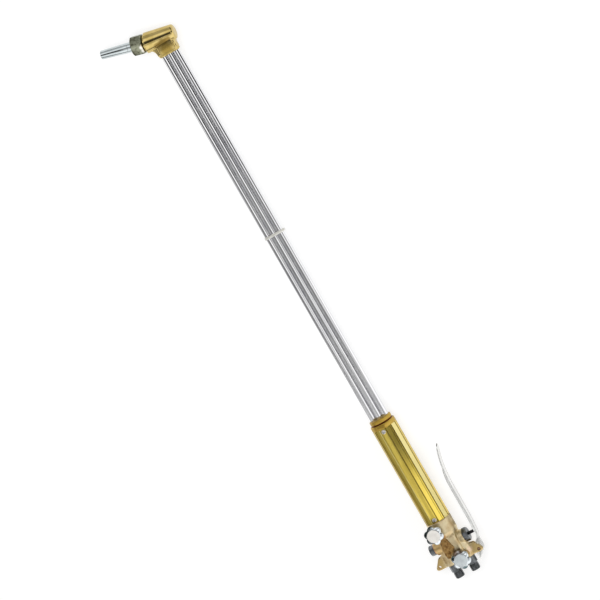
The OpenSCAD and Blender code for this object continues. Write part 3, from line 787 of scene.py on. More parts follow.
def hexagon(name: str, across: float, length: float, chamfer: float, both: bool = True) -> Workpiece:
    """Makes a hexagon along +Z with turned chamfers.

    Args:
        name: Name of the piece.
        across: Width across the flats.
        length: Its length.
        chamfer: Height of the turned chamfer at the corners.
        both: True to chamfer both ends, or the far end only.

    Returns:
        The piece.
    """
    corner = across / 2 / math.cos(math.pi / 6)
    piece = Workpiece.cylinder(name, corner, length, sides=6)
    piece.bevel_edges(0.35, 2, lambda a, b: abs(a.z - b.z) > length / 2)
    step = corner - across / 2
    profile = [(-0.01, corner - step * both * 1.1), (chamfer * both, corner + 0.1)]
    profile += [(length - chamfer, corner + 0.1), (length + 0.01, corner - step * 1.1)]
    piece.keep_inside(Workpiece.turned("chamfer", profile, sides=72))
    return piece


# ---------------------------------------------------------------- front end


@dataclass
class TorchHead:
    """Forged brass head: angled barrel, flared web, raised pads and tube block."""

    barrel_x: float = -28.9
    barrel_y: float = -23.2
    barrel_lean: float = 7.0
    barrel_length: float = 46.0
    nut_radius: float = 15.2
    back_radius: float = 11.3
    tip_lean: float = 14.0
    neck_radius: float = 12.0
    block_half: float = 16.9
    block_radius: float = 8.5
    tube_radius: float = 4.9
    tube_pitch: float = 10.0
    pad_front: float = -19.5
    pad_rear: float = -0.6
    pad_middle: float = 1.5
    crown_along: float = 290.0
    crown_across: float = 700.0
    voxel: float = 0.42
    finish: Finish = BRASS

    def barrel_frame(self) -> Matrix:
        """Gives the frame whose +Z runs along the barrel from the nut face.

        Returns:
            The frame's matrix, in stations.
        """
        turn = Matrix.Rotation(math.radians(-self.barrel_lean), 4, "Z")
        return (
            Matrix.Translation((self.barrel_x, self.barrel_y, 0))
            @ turn @ Matrix.Rotation(math.radians(-90), 4, "X")
        )

    def tip_frame(self) -> Matrix:
        """Gives the frame whose +Z runs out of the nut face along the tip.

        Returns:
            The frame's matrix, in stations.
        """
        turn = Matrix.Rotation(math.radians(-self.tip_lean), 4, "Z")
        return (
            Matrix.Translation((self.barrel_x, self.barrel_y, 0))
            @ turn @ Matrix.Rotation(math.radians(90), 4, "X")
        )

    def build(self) -> None:
        """Models the casting, its sockets and the brazed rings, and dresses them."""
        back = self.barrel_length
        barrel = Workpiece.turned(
            "head_casting",
            [(-6, 15.6), (0, self.nut_radius), (back - 3, self.back_radius + 0.2),
             (back - 1.2, self.back_radius - 0.7), (back - 0.2, self.back_radius - 2.6), (back, 7)],
        ).place(self.barrel_frame())
        barrel.fuse(self._web())
        barrel.cut(self._nut_side())
        barrel.join(self._block(), self._pad(), self._neck())
        barrel.cast(self.voxel, smooth=5)
        barrel.join(self._rim())
        for row in (-1, 0, 1):
            barrel.cut(Workpiece.cylinder(
                "socket", self.tube_radius + 0.02, 14, (-12, row * self.tube_pitch, 0), Axis.X))
        barrel.complete(self.finish, Body.TORCH, "forged_brass", ["head"], smooth=50)
        for row in (-1, 0, 1):
            self._braze(row)

    def _nut_side(self) -> Workpiece:
        """Makes the block that trims the barrel square to the tip."""
        trim = Workpiece.block("trim", (-30, -30, 0), (30, 30, 40))
        return trim.place(self.tip_frame())

    def _web(self) -> Workpiece:
        """Makes the flared web between the barrel and the tube block.

        Returns:
            The piece.
        """
        half = self.block_half - 0.6
        fillet = 11.0
        under = self.barrel_x + self.nut_radius - 2.6
        centre = (under + fillet, -half - fillet)
        curve = [
            (centre[0] + fillet * math.cos(math.radians(a)),
             centre[1] + fillet * math.sin(math.radians(a)))
            for a in range(90, 181, 10)
        ]
        outline = [(self.barrel_x, half + 1), (-12, half + 1), (-9, half), (-2, half), (-2, -half)]
        outline += curve + [(self.barrel_x, -half - fillet)]
        web = Workpiece.plate("web", outline, -7.6, 7.6)
        return web.round_edges(2.2, 3, 60)

    def _block(self) -> Workpiece:
        """Makes the round-sided block that takes the tubes.

        Returns:
            The piece.
        """
        length = -self.barrel_x - 4
        size = self.block_half - self.block_radius
        block = Workpiece.cylinder("block", self.block_radius, length, (-length, 0, 0), Axis.X, 48)
        for side in (-1, 1):
            block.select_vertices(lambda co, side=side: co.y * side > 0.01)
            bpy.ops.transform.translate(value=(0, side * size, 0))
            block.done()
        return block

    def _pad(self) -> Workpiece:
        """Makes the crowned pad over the block, on both faces.

        Returns:
            The piece.
        """
        pad = Workpiece.block("pad", (self.pad_front, -11.2, -10), (self.pad_rear, 14.1, 10))
        pad.select_faces(lambda centre, normal: abs(normal.z) > 0.9)
        bpy.ops.transform.resize(
            value=(0.93, 0.94, 1), center_override=(self.pad_rear, self.pad_middle, 0))
        pad.done().select_faces(lambda centre, normal: True)
        bpy.ops.mesh.subdivide(number_cuts=11)
        pad.done()
        for vertex in pad.obj.data.vertices:
            drop = (vertex.co.x - self.pad_front) ** 2 / self.crown_along
            drop += (vertex.co.y - self.pad_middle) ** 2 / self.crown_across
            vertex.co.z *= 1 - drop / 10
        return pad

    def _neck(self) -> Workpiece:
        """Makes the turned neck that the tip nut screws on."""
        profile = [(-4, 12), (2.2, self.neck_radius), (2.9, 11.2), (3.7, 11.2)]
        return Workpiece.turned("neck", profile).place(self.tip_frame())

    def _rim(self) -> Workpiece:
        """Makes the machined rim round the nut face."""
        profile = [(-1.4, 14.6), (-1.4, 15.1), (-0.2, 15.2), (0.1, 14.8), (0.1, 12)]
        return Workpiece.turned("rim", profile, sides=96).place(self.tip_frame())

    def _braze(self, row: int) -> None:
        """Makes the brazed ring where a tube leaves its socket.

        Args:
            row: Which tube: -1, 0 or 1.
        """
        tube = self.tube_radius
        profile = [(-1, tube), (-1, tube + 1), (-0.1, tube + 0.9), (0.7, tube + 0.35), (1.1, tube)]
        ring = Workpiece.turned(
            f"braze_{('outer', 'middle', 'inner')[row + 1]}", profile + [profile[0]],
            at=(0, row * self.tube_pitch, 0), axis=Axis.X, ring=True,
        )
        ring.complete(self.finish, Body.TORCH, "forged_brass")


@dataclass
class TipSet:
    """Tip nut and cutting tip, along the tip's own axis."""

    head: TorchHead
    neck_show: float = 3.7
    across_flats: float = 27.0
    nut_length: float = 17.0
    tip_show: float = 48.6
    root_radius: float = 7.6
    end_radius: float = 6.45
    bore_radius: float = 4.6
    boss_length: float = 15.7
    seat_length: float = 15.0

    def build(self) -> None:
        """Models the nut and the tip, and dresses them with the core inside."""
        self._nut()
        self._tip()
        dress("tip_core", COPPER)

    def _nut(self) -> None:
        """Models the hexagonal tip nut with its turned collar and bore."""
        nut = hexagon("tip_nut_hex", self.across_flats, self.nut_length, 2.2)
        collar = Workpiece.turned(
            "collar", [(-0.01, 12.4), (-0.01, 13.2), (1.2, 13.4), (1.2, 12.4)])
        step = self.boss_length - self.neck_show + 3
        nut.fuse(collar)
        nut.cut(
            Workpiece.cylinder("bore", 12.05, step + 1, (0, 0, -1)),
            Workpiece.turned("mouth", [
                (step - 2, self.root_radius + 0.4), (self.nut_length - 1, self.root_radius + 0.4),
                (self.nut_length + 0.5, self.root_radius + 1.9)]),
        )
        nut.round_edges(0.3, 2, 25)
        nut.place(self.head.tip_frame() @ Matrix.Translation((0, 0, self.neck_show)))
        nut.complete(NICKEL, Body.TORCH, "nickel", ["tip_nut"], smooth=30)

    def _tip(self) -> None:
        """Turns the tip with its seat, shoulder, taper and rounded flame end."""
        base = self.boss_length - self.seat_length
        nut_end = self.neck_show + self.nut_length
        end = nut_end + self.tip_show
        profile = [
            (base, self.bore_radius), (base, 5.6), (self.boss_length, 8.2), (self.boss_length, 10.2),
            (self.boss_length + 3, 10.2), (self.boss_length + 3, self.root_radius),
            (nut_end, self.root_radius), (nut_end + 6, self.root_radius - 0.05),
            (nut_end + 6.3, self.root_radius - 0.35), (nut_end + 7.1, self.root_radius - 0.35),
            (nut_end + 7.4, self.root_radius - 0.1), (end - 1.2, self.end_radius + 0.04),
            (end - 0.4, self.end_radius - 0.25), (end, self.end_radius - 0.9),
            (end, self.bore_radius + 0.3), (end - 0.4, self.bore_radius), (base, self.bore_radius),
        ]
        tip = Workpiece.turned("tip_shell", profile, sides=96, ring=True)
        tip.place(self.head.tip_frame())
        tip.complete(TIP_CHROME, Body.TORCH, "chrome", ["cutting_tip"], smooth=30)


@dataclass
class TubeRow:
    """Three polished tubes and the band that ties them."""

    radius: float = 4.9
    wall: float = 1.2
    pitch: float = 10.0
    start: float = -12.0
    end: float = 775.4
    band_at: float = 297.0
    band_width: float = 4.0
    band_thickness: float = 0.8

    def build(self) -> None:
        """Models each tube and the band, and dresses them."""
        names = {-1: "fuel_tube", 0: "preheat_oxygen_tube", 1: "cutting_oxygen_tube"}
        inner = self.radius - self.wall
        profile = [
            (self.start, inner), (self.start, self.radius - 0.2), (self.start + 0.2, self.radius),
            (self.end - 0.2, self.radius), (self.end, self.radius - 0.2), (self.end, inner),
            (self.start, inner),
        ]
        for row, node in names.items():
            tube = Workpiece.turned(
                f"{node}_wall", profile, (0, row * self.pitch, 0), Axis.X, sides=96, ring=True)
            tube.complete(STAINLESS, Body.TORCH, "stainless_tube", [node], smooth=30)
        self._band()

    def _band(self) -> None:
        """Models the strip round the tubes, with its folded crimp."""
        width, thick = self.band_width, self.band_thickness
        strip = Workpiece.turned(
            "band_strip",
            [(0, self.radius + 0.02), (0, self.radius + thick), (width, self.radius + thick),
             (width, self.radius + 0.02), (0, self.radius + 0.02)],
            (self.band_at, 0, 0), Axis.X, sides=48, ring=True,
        )
        for side in (-1, 1):
            strip.select_vertices(lambda co, side=side: co.y * side > 0.01)
            bpy.ops.transform.translate(value=(0, side * self.pitch, 0))
            strip.done()
        strip.round_edges(0.2, 2, 40)
        outer = self.pitch + self.radius + thick
        crimp = Workpiece.block(
            "crimp", (self.band_at, outer - 0.4, -1.2), (self.band_at + width, outer + 2.2, 1.2))
        crimp.select_faces(lambda centre, normal: normal.y > 0.9)
        bpy.ops.transform.resize(value=(0.8, 1, 0.45), center_override=(
            self.band_at + width / 2, outer, 0))
        crimp.done().round_edges(0.25, 2, 40)
        strip.join(crimp)
        strip.complete(BAND_STEEL, Body.TORCH, "steel", ["tube_band"], smooth=35)


# ---------------------------------------------------------------- handle


@dataclass
class Handle:
    """Anodised collar, fluted sleeve and the two screws on its flat panel.

    Attributes:
        start: Station of the collar's front.
        tier: Length of each of the collar's two tiers.
        sleeve_start: Station of the sleeve's front.
        sleeve_length: Its length.
        radius: Its outer radius.
        bore: Its inner radius.
        spigot: Radius of the collar's front tier and of its spigot.
        collar_radius: Radius of the collar's rear tier.
        panel_height: Height of the two flat panels over the axis.
        panel_half: Half their width.
        facet_height: Height of the facets over the axis.
        facet_half: Half their width.
        groove: Width of the grooves on the ribs.
        groove_floor: Height of their floor over the axis.
        fine: Width of the fine grooves.
        fine_floor: Height of their floor.
        fine_at: Their angles in degrees, from straight up towards the lever.
        facets: Facets and panels round the sleeve.
        ungrooved_rib: Angle of the rib that has no groove and carries a painted highlight.
        cut_reach: Height that the cutters reach to.
        tube_pitch: Distance between two tubes.
        tube_hole: Radius of the collar's bores for them.
        screw_in: Distance of each screw from the sleeve's end.
    """

    start: float = 605.0
    tier: float = 7.2
    sleeve_start: float = 619.4
    sleeve_length: float = 158.0
    radius: float = 19.05
    bore: float = 17.0
    spigot: float = 16.95
    collar_radius: float = 19.25
    panel_height: float = 18.3
    panel_half: float = 5.2
    facet_height: float = 18.2
    facet_half: float = 4.1
    groove: float = 1.35
    groove_floor: float = 18.25
    fine: float = 0.6
    fine_floor: float = 17.95
    fine_at: tuple[float, ...] = (-37.0, 37.0, 143.0, 217.0)
    facets: int = 12
    ungrooved_rib: float = -15.0
    cut_reach: float = 22.0
    tube_pitch: float = 10.0
    tube_hole: float = 4.92
    screw_in: float = 4.6

    def build(self) -> None:
        """Models collar, sleeve and screws, and dresses them."""
        self._collar()
        self._sleeve()
        self._screws()
        dress("tube_spacer", SPACER)

    def _collar(self) -> None:
        """Turns the two-tier collar, with its groove, flats and three bores."""
        tier, low = self.tier, self.spigot
        high = self.collar_radius
        profile = [
            (0, low - 1.2), (0.3, low - 0.5), (1.0, low), (tier - 1.6, low), (tier - 1.2, low - 0.9),
            (tier - 0.1, low - 0.9), (tier + 0.1, low + 0.6), (tier + 0.6, high - 0.35),
            (tier + 1.2, high), (2 * tier - 0.6, high), (2 * tier, high - 0.3),
            (2 * tier, low), (2 * tier + 14, low),
        ]
        collar = Workpiece.turned("collar_ring", profile, (self.start, 0, 0), Axis.X, sides=128)
        flats = Workpiece.block(
            "flats", (self.start - 1, -30, -self.panel_height),
            (self.start + 2 * tier + 15, 30, self.panel_height))
        collar.keep_inside(flats)
        for row in (-1, 0, 1):
            collar.cut(Workpiece.cylinder(
                "bore", self.tube_hole, 40, (self.start - 1, row * self.tube_pitch, 0), Axis.X, 48))
        collar.round_edges(0.2, 2, 40)
        collar.complete(COLLAR_GOLD, Body.TORCH, "collar_gold", ["handle_collar"], smooth=30)
        middle = (TO_FRAME @ Vector((self.start + tier - 0.6, 0, 0))).x
        # painted shade: the collar's groove is coloured dark red
        collar.tint(COLLAR_GROOVE_SHADE, lambda centre, normal: abs(centre.x - middle) < 0.95 * MM)

    def _sleeve(self) -> None:
        """Models the sleeve: a tube with cut facets, grooved ribs and two flat panels."""
        start, length, reach = self.sleeve_start, self.sleeve_length, self.cut_reach
        sleeve = Workpiece.turned(
            "sleeve_skin",
            [(0, self.bore), (0, self.radius - 0.25), (0.25, self.radius),
             (length - 0.25, self.radius), (length, self.radius - 0.25), (length, self.bore),
             (0, self.bore)],
            (start, 0, 0), Axis.X, sides=180, ring=True,
        )
        cutters, grooves = [], []
        for step in range(self.facets):
            turn = Matrix.Rotation(math.radians(90 + step * 360 / self.facets), 4, "X")
            panel = step % (self.facets // 2) == 0
            height = self.panel_height if panel else self.facet_height
            half = self.panel_half if panel else self.facet_half
            tool = Workpiece.block(
                "facet", (start - 1, height, -half), (start + length + 1, reach, half))
            cutters.append(tool.place(turn))
            if not step:
                continue  # the rib with the painted highlight has no groove
            groove = Workpiece.block(
                "groove", (start - 1, self.groove_floor, -self.groove / 2),
                (start + length + 1, reach, self.groove / 2))
            groove.place(Matrix.Rotation(math.radians(105 + step * 360 / self.facets), 4, "X"))
            grooves.append(groove)
        for angle in self.fine_at:
            line = Workpiece.block(
                "line", (start - 1, self.fine_floor, -self.fine / 2),
                (start + length + 1, reach, self.fine / 2))
            grooves.append(line.place(Matrix.Rotation(math.radians(90 - angle), 4, "X")))
        sleeve.cut(cutters[0].join(*cutters[1:]))
        sleeve.cut(grooves[0].join(*grooves[1:]))
        sleeve.round_edges(0.12, 2, 18)
        for x in (start + self.screw_in, start + length - self.screw_in):
            sleeve.cut(Workpiece.cylinder("hole", 2.2, 12, (x, 0, 10)))
        sleeve.complete(GOLD, Body.TORCH, "gold_aluminium", ["handle_sleeve"], smooth=30)
        self._paint_light_and_shade(sleeve)

    def _paint_light_and_shade(self, sleeve: Workpiece) -> None:
        """Paints shade into the grooves, a painted highlight on the lever side's facets and the rib
        beside the panel, and painted shade on the facets of the other side.

        Args:
            sleeve: The finished sleeve, in the metre frame.
        """
        axis = TO_FRAME.translation
        step = 360 / self.facets

        def around(point: Vector) -> float:
            """Gives an angle in degrees from straight up towards the lever."""
            return math.degrees(math.atan2(point.y - axis.y, point.z - axis.z))

        def in_groove(centre: Vector, normal: Vector) -> bool:
            """Tells whether a face lines one of the grooves.

            Args:
                centre: The face's centre.
                normal: Its normal.

            Returns:
                True if it does.
            """
            reach = math.hypot(centre.y - axis.y, centre.z - axis.z)
            off = (around(centre) - step / 2 + 180) % step
            rib = abs(around(centre) - self.ungrooved_rib) > 4 and min(off, step - off) < 2.25
            fine = min(abs((around(centre) - at + 180) % 360 - 180) for at in self.fine_at) < 1.1
            return (rib or fine) and reach > (self.bore + 0.5) * MM and abs(normal.x) < 0.5

        def painted_highlight_rib(centre: Vector, normal: Vector) -> bool:
            """Tells whether a face lies on the rib beside the panel, which gets a painted highlight.

            Args:
                centre: The face's centre.
                normal: Its normal.

            Returns:
                True if it does.
            """
            reach = math.hypot(centre.y - axis.y, centre.z - axis.z)
            near = abs(around(centre) - self.ungrooved_rib) < 3
            return near and reach > (self.bore + 0.8) * MM and abs(normal.x) < 0.5

        def facets(low: float, high: float) -> Callable[[Vector, Vector], bool]:
            """Makes the test for the facets that face between two angles.

            Args:
                low: Smallest angle in degrees.
                high: Largest angle.

            Returns:
                The test.
            """
            def wanted(centre: Vector, normal: Vector) -> bool:
                """Tells whether a face of the skin points between the two angles.

                Args:
                    centre: The face's centre.
                    normal: Its normal.

                Returns:
                    True if it does and lies in no groove.
                """
                face = math.degrees(math.atan2(normal.y, normal.z))
                outward = abs(around(centre) - face) < 25
                inside = low < face < high and abs(normal.x) < 0.5
                return outward and inside and not in_groove(centre, normal)
            return wanted

        # painted shade in the grooves
        sleeve.tint(GROOVE_SHADE_GOLD, in_groove)
        # painted highlight on the facets that face the lever's side
        sleeve.tint(PAINTED_HIGHLIGHT_GOLD, facets(50, 70))
        # painted shade on the facets that face the fuel side
        sleeve.tint(PAINTED_SHADE_GOLD, facets(-100, -20))
        # painted highlight on the rib beside the panel
        sleeve.tint(PAINTED_HIGHLIGHT_GOLD, painted_highlight_rib)

    def _screws(self) -> None:
        """Models one cross-recessed screw and copies it to the other end."""
        profile = [(-8, 2), (0, 2.05), (0, 3.4), (0.7, 3.4), (1.5, 2.9), (1.9, 2.0)]
        screw = Workpiece.turned(
            "screw_front", profile, (self.sleeve_start + self.screw_in, 0, self.panel_height), sides=48)
        for turn in (25, 115):
            slot = Workpiece.block("slot", (-1.9, -0.42, 0.7), (1.9, 0.42, 3))
            slot.place(
                Matrix.Translation((self.sleeve_start + self.screw_in, 0, self.panel_height))
                @ Matrix.Rotation(math.radians(turn), 4, "Z"))
            screw.cut(slot)
        screw.round_edges(0.12, 2, 30)
        other = screw.copy("screw_rear")
        other.place(Matrix.Translation((self.sleeve_length - 2 * self.screw_in, 0, 0)))
        screw.complete(STEEL, Body.TORCH, "steel", ["handle_screws"])
        other.complete(STEEL, Body.TORCH, "steel")


# ---------------------------------------------------------------- rear body


@dataclass
class RearBody:
    """Brass forging with neck, valve bosses, arms and two slotted ears."""

    start: float = 777.4
    length: float = 69.5
    neck_radius: float = 19.5
    valve_y: float = 8.8
    fuel_valve: float = 13.0
    cutting_valve: float = 38.5
    oxygen_valve: float = 62.5
    boss_top: float = 21.5
    bonnet_seat: float = 22.3
    plug_seat: float = -25.5
    underside: float = -19.5
    pivot: float = 65.1
    ear_y: float = 32.8
    ear_thickness: float = 9.4
    slot_thickness: float = 3.6
    inlet_y: float = 13.1
    arm_radius: float = 9.8
    voxel: float = 0.5

    def at(self, x: float) -> float:
        """Turns a body station into a torch station."""
        return self.start + x

    def build(self) -> None:
        """Models the forging and its rough ridge, and dresses them."""
        neck = Workpiece.turned(
            "body_forging",
            [(0, 19.0), (0.5, self.neck_radius), (21, self.neck_radius), (24.5, 18.6),
             (28.5, 16.6), (32.5, 15.4), (42, 15.2)],
            (self.start, 0, 0), Axis.X, sides=96,
        )
        neck.join(self._block(), *self._arms(), self._cross_boss(), *self._valve_bosses())
        for side in (-1, 1):
            neck.join(self._ear(side))
        neck.cast(self.voxel, smooth=4)
        self._trim(neck)
        neck.complete(TAN_BRASS, Body.TORCH, "cast_brass", ["rear_body"], smooth=50)
        self._ridge()
        spigot = Workpiece.turned(
            "body_spigot", [(-14, 16.4), (-13.5, 16.95), (0.5, 16.95)], (self.start, 0, 0), Axis.X)
        spigot.complete(TAN_BRASS, Body.TORCH, "cast_brass")

    def _block(self) -> Workpiece:
        """Makes the middle block with its flat underside.

        Returns:
            The piece.
        """
        block = Workpiece.block(
            "block", (self.at(25), -14.5, self.underside), (self.at(68.2), 14.5, 16.5))
        block.round_edges(3.5, 3, 60)
        return block

    def _arms(self) -> list[Workpiece]:
        """Makes the two round arms that take the inlets.

        Returns:
            The fuel side's arm and the oxygen side's.
        """
        profile = [
            (37.5, 6.5), (40.5, 8.6), (44.5, self.arm_radius), (68.7, self.arm_radius),
            (self.length, 9.2)]
        return [
            Workpiece.turned("arm", profile, (self.start, side * self.inlet_y, 0), Axis.X)
            for side in (-1, 1)
        ]

    def _cross_boss(self) -> Workpiece:
        """Makes the boss of the cutting valve, square to the tubes.

        Returns:
            The piece.
        """
        profile = [
            (self.plug_seat, 9.6), (-24.9, 10.2), (-16, 10.6), (16, 10.8), (21.8, 10.4),
            (self.bonnet_seat, 9.9)]
        return Workpiece.turned("cross", profile, (self.at(self.cutting_valve), 0, 0), Axis.Y)

    def _valve_bosses(self) -> list[Workpiece]:
        """Makes the two bosses under the gland nuts.

        Returns:
            The fuel valve's boss and the oxygen valve's.
        """
        profile = [(0, 10.5), (14, 9.6), (18, 8.6), (self.boss_top - 0.4, 8.2), (self.boss_top, 7.8)]
        fuel = Workpiece.turned("boss", profile, (self.at(self.fuel_valve), -self.valve_y, 0))
        oxygen = Workpiece.turned("boss", profile, (self.at(self.oxygen_valve), self.valve_y, 0))
        end = self.at(self.length) - 0.3
        oxygen.cut(Workpiece.block("trim", (end, -10, -1), (end + 20, 30, 30)))
        return [fuel, oxygen]

    def _ear(self, side: int) -> Workpiece:
        """Makes one ear plate with its sloping shoulder.

        Args:
            side: 1 on the lever's side, -1 on the other.

        Returns:
            The piece.
        """
        tip = (self.pivot + 1.6, self.ear_y + 5.8)
        outline = [
            (self.pivot - 17, 14), (self.pivot - 13.4, 25), (self.pivot - 12.6, self.ear_y - 3.6),
            (tip[0] - 2.2, tip[1] - 0.5), (tip[0] + 0.2, tip[1]), (tip[0] + 2.2, tip[1] - 1.6),
            (self.length, self.ear_y), (self.length - 0.4, 14),
        ]
        outline = [(self.at(x), side * y) for x, y in outline]
        half = self.ear_thickness / 2
        ear = Workpiece.plate("ear", outline, -half, half)
        return ear.round_edges(1.1, 2, 60)

    def _trim(self, body: Workpiece) -> None:
        """Machines the faces, bores, spot faces, ear holes and slots.

        Args:
            body: The casting.
        """
        body.cut(
            Workpiece.block("front", (self.at(-6), -40, -40), (self.at(0), 40, 40)),
            Workpiece.cylinder(
                "spot", 11.35, 12, (self.at(self.cutting_valve), self.bonnet_seat, 0), Axis.Y, 72),
            Workpiece.cylinder(
                "thread", 7.9, 12, (self.at(self.cutting_valve), 12.4, 0), Axis.Y, 48),
            Workpiece.cylinder(
                "spot", 10.8, 10, (self.at(self.cutting_valve), self.plug_seat, 0), Axis.MINUS_Y, 72),
            Workpiece.block("under", (self.at(-5), -40, -30), (self.at(80), 40, self.underside)),
        )
        for x, y in ((self.fuel_valve, -self.valve_y), (self.oxygen_valve, self.valve_y)):
            body.cut(Workpiece.cylinder("gland", 5, 20, (self.at(x), y, 9), sides=48))
        for side in (-1, 1):
            low, high = sorted((side * 23.3, side * 60))
            body.cut(
                Workpiece.cylinder("hole", 2.6, 30, (self.at(self.pivot), side * self.ear_y, -15)),
                Workpiece.block(
                    "slot", (self.at(44.5), low, -self.slot_thickness / 2),
                    (self.at(86), high, self.slot_thickness / 2)),
                Workpiece.cylinder(
                    "root", 5.5, 8, (self.at(self.length - 4), side * self.inlet_y, 0), Axis.X, 48),
            )

    def _ridge(self) -> None:
        """Makes the rough raised ridge that the forging die left on top."""
        outline = [
            (19, -2.5), (23, 1), (29, 3), (38, 5), (46, 7.5), (52, 2.5), (54, -3),
            (60, -8.5), (58, -13.5), (48, -14.5), (38, -13), (28, -12), (21, -9.5),
        ]
        ridge = Workpiece.plate("body_ridge", [(self.at(x), y) for x, y in outline], 10, 18.6)
        ridge.select_faces(lambda centre, normal: normal.z > 0.9)
        bpy.ops.transform.resize(value=(0.86, 0.8, 1), center_override=(self.at(38), -4, 0))
        ridge.done().round_edges(1.2, 2, 30)
        ridge.cast(0.4, smooth=3)
        clouds = bpy.data.textures.new("forging_scale", "CLOUDS")
        clouds.noise_scale = 2.4
        ridge.modify("DISPLACE", texture=clouds, strength=1.1, mid_level=0.6)
        ridge.complete(ROUGH_BRASS, Body.TORCH, "cast_brass", smooth=60)


@dataclass
class Inlets:
    """The two threaded hose inlets with their hexagons."""

    body: RearBody
    across_flats: float = 15.0
    hex_length: float = 11.0
    thread_radius: float = 7.14
    thread_start: float = 12.4
    thread_length: float = 9.5
    pitch: float = 1.41
    thread_depth: float = 0.85
    bore: float = 2.4

    def build(self) -> None:
        """Models the fuel inlet, copies it to the oxygen side and dresses both."""
        for side, name in ((-1, "fuel"), (1, "oxygen")):
            place = Matrix.Translation(
                (self.body.at(self.body.length), side * self.body.inlet_y, 0)
            ) @ Axis.X.value.to_matrix().to_4x4()
            hexed = hexagon(f"{name}_inlet_hex", self.across_flats, self.hex_length, 0.9)
            hexed.cut(Workpiece.cylinder("bore", self.bore, 30, (0, 0, -5)))
            hexed.place(place)
            hexed.complete(DARK_STEEL, Body.TORCH, "dark_steel", [f"{name}_inlet"], smooth=30)
            thread = self._thread(f"{name}_inlet_thread", left_hand=side < 0)
            thread.place(place)
            thread.complete(DARK_STEEL, Body.TORCH, "dark_steel", smooth=30)
        dress("inlet_filters", COPPER)

    def _thread(self, name: str, left_hand: bool) -> Workpiece:
        """Models the threaded end: rings whose radius follows a screw line.

        Args:
            name: Name of the piece.
            left_hand: True for the fuel gas side.

        Returns:
            The piece along +Z from the body's rear face.
        """
        start = self.thread_start
        end = start + self.thread_length
        step = self.pitch / 8
        rings = int(self.thread_length / step)
        core = self.thread_radius - self.thread_depth
        profile = [(self.hex_length - 1.5, self.bore), (self.hex_length - 1.5, core)]
        profile += [(start - 0.2 + i * step, self.thread_radius) for i in range(rings)]
        profile += [(end - 0.5, self.thread_radius - 0.1), (end, core), (end, 5.2)]
        profile += [(end - 0.6, 4.6), (end - 2.6, self.bore), (self.hex_length - 1.5, self.bore)]
        thread = Workpiece.turned(name, profile, sides=72, ring=True)
        hand = -1 if left_hand else 1
        for vertex in thread.obj.data.vertices:
            x, y, z = vertex.co
            radius = math.hypot(x, y)
            if radius < core + 0.05 or z < start - 0.3:
                continue
            phase = (z / self.pitch - hand * math.atan2(y, x) / math.tau) % 1
            ridge = min(1.0, max(0.0, 1.6 - abs(phase - 0.5) * 4.4))
            fade = min(1.0, max(0.0, (end - z) / 1.2)) * min(1.0, max(0.0, (z - start + 0.4) / 0.8))
            wanted = core + (self.thread_radius - core) * ridge * fade
            vertex.co.x, vertex.co.y = x * wanted / radius, y * wanted / radius
        return thread


